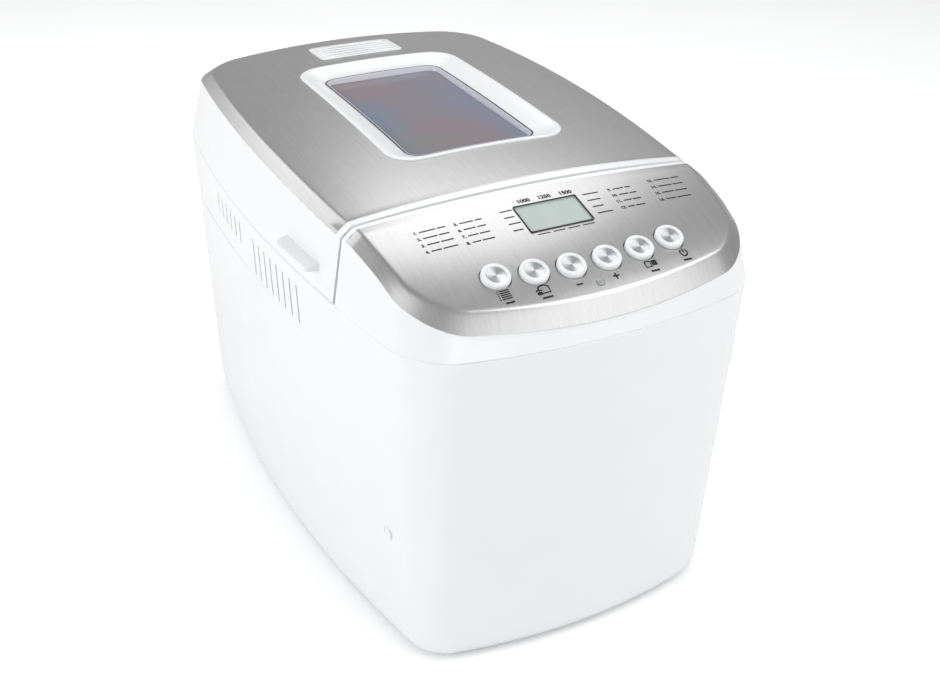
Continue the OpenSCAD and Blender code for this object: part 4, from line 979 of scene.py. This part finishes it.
clear_pane = clear_finish("clear_pane", (0.74, 0.75, 0.82), (0.82, 0.82, 0.88), 0.25, 0.08)
tray_edge = clear_finish("tray_edge", (0.06, 0.06, 0.14), (0.09, 0.08, 0.18), 0.2, 0.1)
# The tinted glass's colour drifts between blue, pink and green: a painted rainbow sheen over its dark tint
tinted_glass_painted_sheen = Finish("tinted_glass_painted_sheen")
drift = tinted_glass_painted_sheen.noise(14.0, (1.0, 0.6, 1.0), detail=0.5)
other_drift = tinted_glass_painted_sheen.noise(23.0, (0.7, 1.0, 1.0), detail=0.5)
painted_sheen_blue_or_pink = tinted_glass_painted_sheen.mix(((drift - 0.38) * 4.0).clamped(), (0.15, 0.215, 0.32, 1),
                                (0.235, 0.185, 0.21, 1))
painted_sheen_green_share = ((other_drift - 0.5) * 4.0).clamped() * 0.6
tinted_glass_painted_sheen.set(Base_Color=tinted_glass_painted_sheen.mix(painted_sheen_green_share, painted_sheen_blue_or_pink, (0.17, 0.23, 0.20, 1)),
                 Roughness=drift * 0.05 + 0.06)
edge_rings = tray_ring([0.05, 0.05, 0.9, 0.9], [-8.0, -4.6, -4.6, -8.0])
wall_rings = tray_ring([0.95, 0.95, 1.2, 1.6, 1.8, 2.1, 2.4, 2.4],
                       [-10.6, -5.0, -4.7, -4.7, -5.0, -8.6, -9.6, -10.6])
glass_rings = np.concatenate([rounded_rings(0.004, 0.004, 0.003, [-0.0106], 14, 16),
                              tray_ring([2.45, 2.45], [-10.6, -9.8]),
                              rounded_rings(0.004, 0.004, 0.003, [-0.0098], 14, 16)])
piece("window_tray", laid(wall_rings, WINDOW_Y), ring_faces(*wall_rings.shape[:2], loop=True),
      clear_pane, "lid", ("window_pane",))
piece("window_tray_edge", laid(edge_rings, WINDOW_Y), ring_faces(*edge_rings.shape[:2], loop=True),
      tray_edge, "lid")
piece("window_tray_floor", tilted(glass_rings, WINDOW_Y), ring_faces(*glass_rings.shape[:2]),
      tinted_glass_painted_sheen, "lid")
dressed(tinted_glass_painted_sheen, "inner_glass")
dressed(sheet_steel, "lid_liner")
dressed(white_satin, "lid_hinges")
dressed(zinc_plate, "liner_screws")

# ---- Steam vent ----
# A low white cover behind the window over the lid's steam outlet, with rounded edges. Five long low
# ribs are moulded across its top.

vent_sizes = np.array([[28.3, 13.8, 3.0, -4.5], [28.3, 13.8, 3.0, 0.1], [31, 16.4, 4.0, 0.1],
                       [31, 16.4, 4.0, 0.6], [30.8, 16.2, 3.9, 0.85], [30.2, 15.6, 3.4, 1.0]]) * MM
rib_sizes = np.array([[26.5, 2.2, 1.2, 0.9], [26.5, 2.2, 1.2, 1.05], [26.3, 2.0, 1.0, 1.2],
                      [25.7, 1.4, 0.6, 1.3]]) * MM
RIBS = 5
RIB_STEP = 0.0058
vent_rings = rounded_rings(*vent_sizes.T, 8, 12)
piece("steam_vent_cover", laid(vent_rings, VENT_Y), ring_faces(*vent_rings.shape[:2]),
      white_gloss, "lid", ("steam_vent",))
rib_rings = rounded_rings(*rib_sizes.T, 4, 12)
rib_size = rib_rings[..., 0].size
rib_places = RIB_STEP * (np.arange(RIBS) - RIBS // 2)
ribs = np.stack([laid(rib_rings + (0, place, 0), VENT_Y) for place in rib_places])
rib_faces = [[k + rib_size * i for k in face] for i in range(RIBS)
             for face in ring_faces(*rib_rings.shape[:2])]
piece("steam_vent_ribs", ribs, rib_faces, white_gloss, "lid")

# ---- Bread pan, bail and paddle ----
# A pan of coated aluminium with a rolled rim and a wire bail on riveted lugs. A paddle sits on the
# shaft in its floor, whose coupling under the pan drops over the driven bar.

nonstick = plain_finish("nonstick_coating", (0.055, 0.055, 0.058), (0.085, 0.085, 0.09), 0.42, 500, 0.00004,
                        0.3)
dressed(nonstick, "bread_pan", "kneading_paddle")
dressed(cast_alloy, "pan_base_ring", "pan_bearing")
dressed(sheet_steel, "bail_lugs", "bail_handle", "paddle_shaft")
dressed(zinc_plate, "pan_coupling")
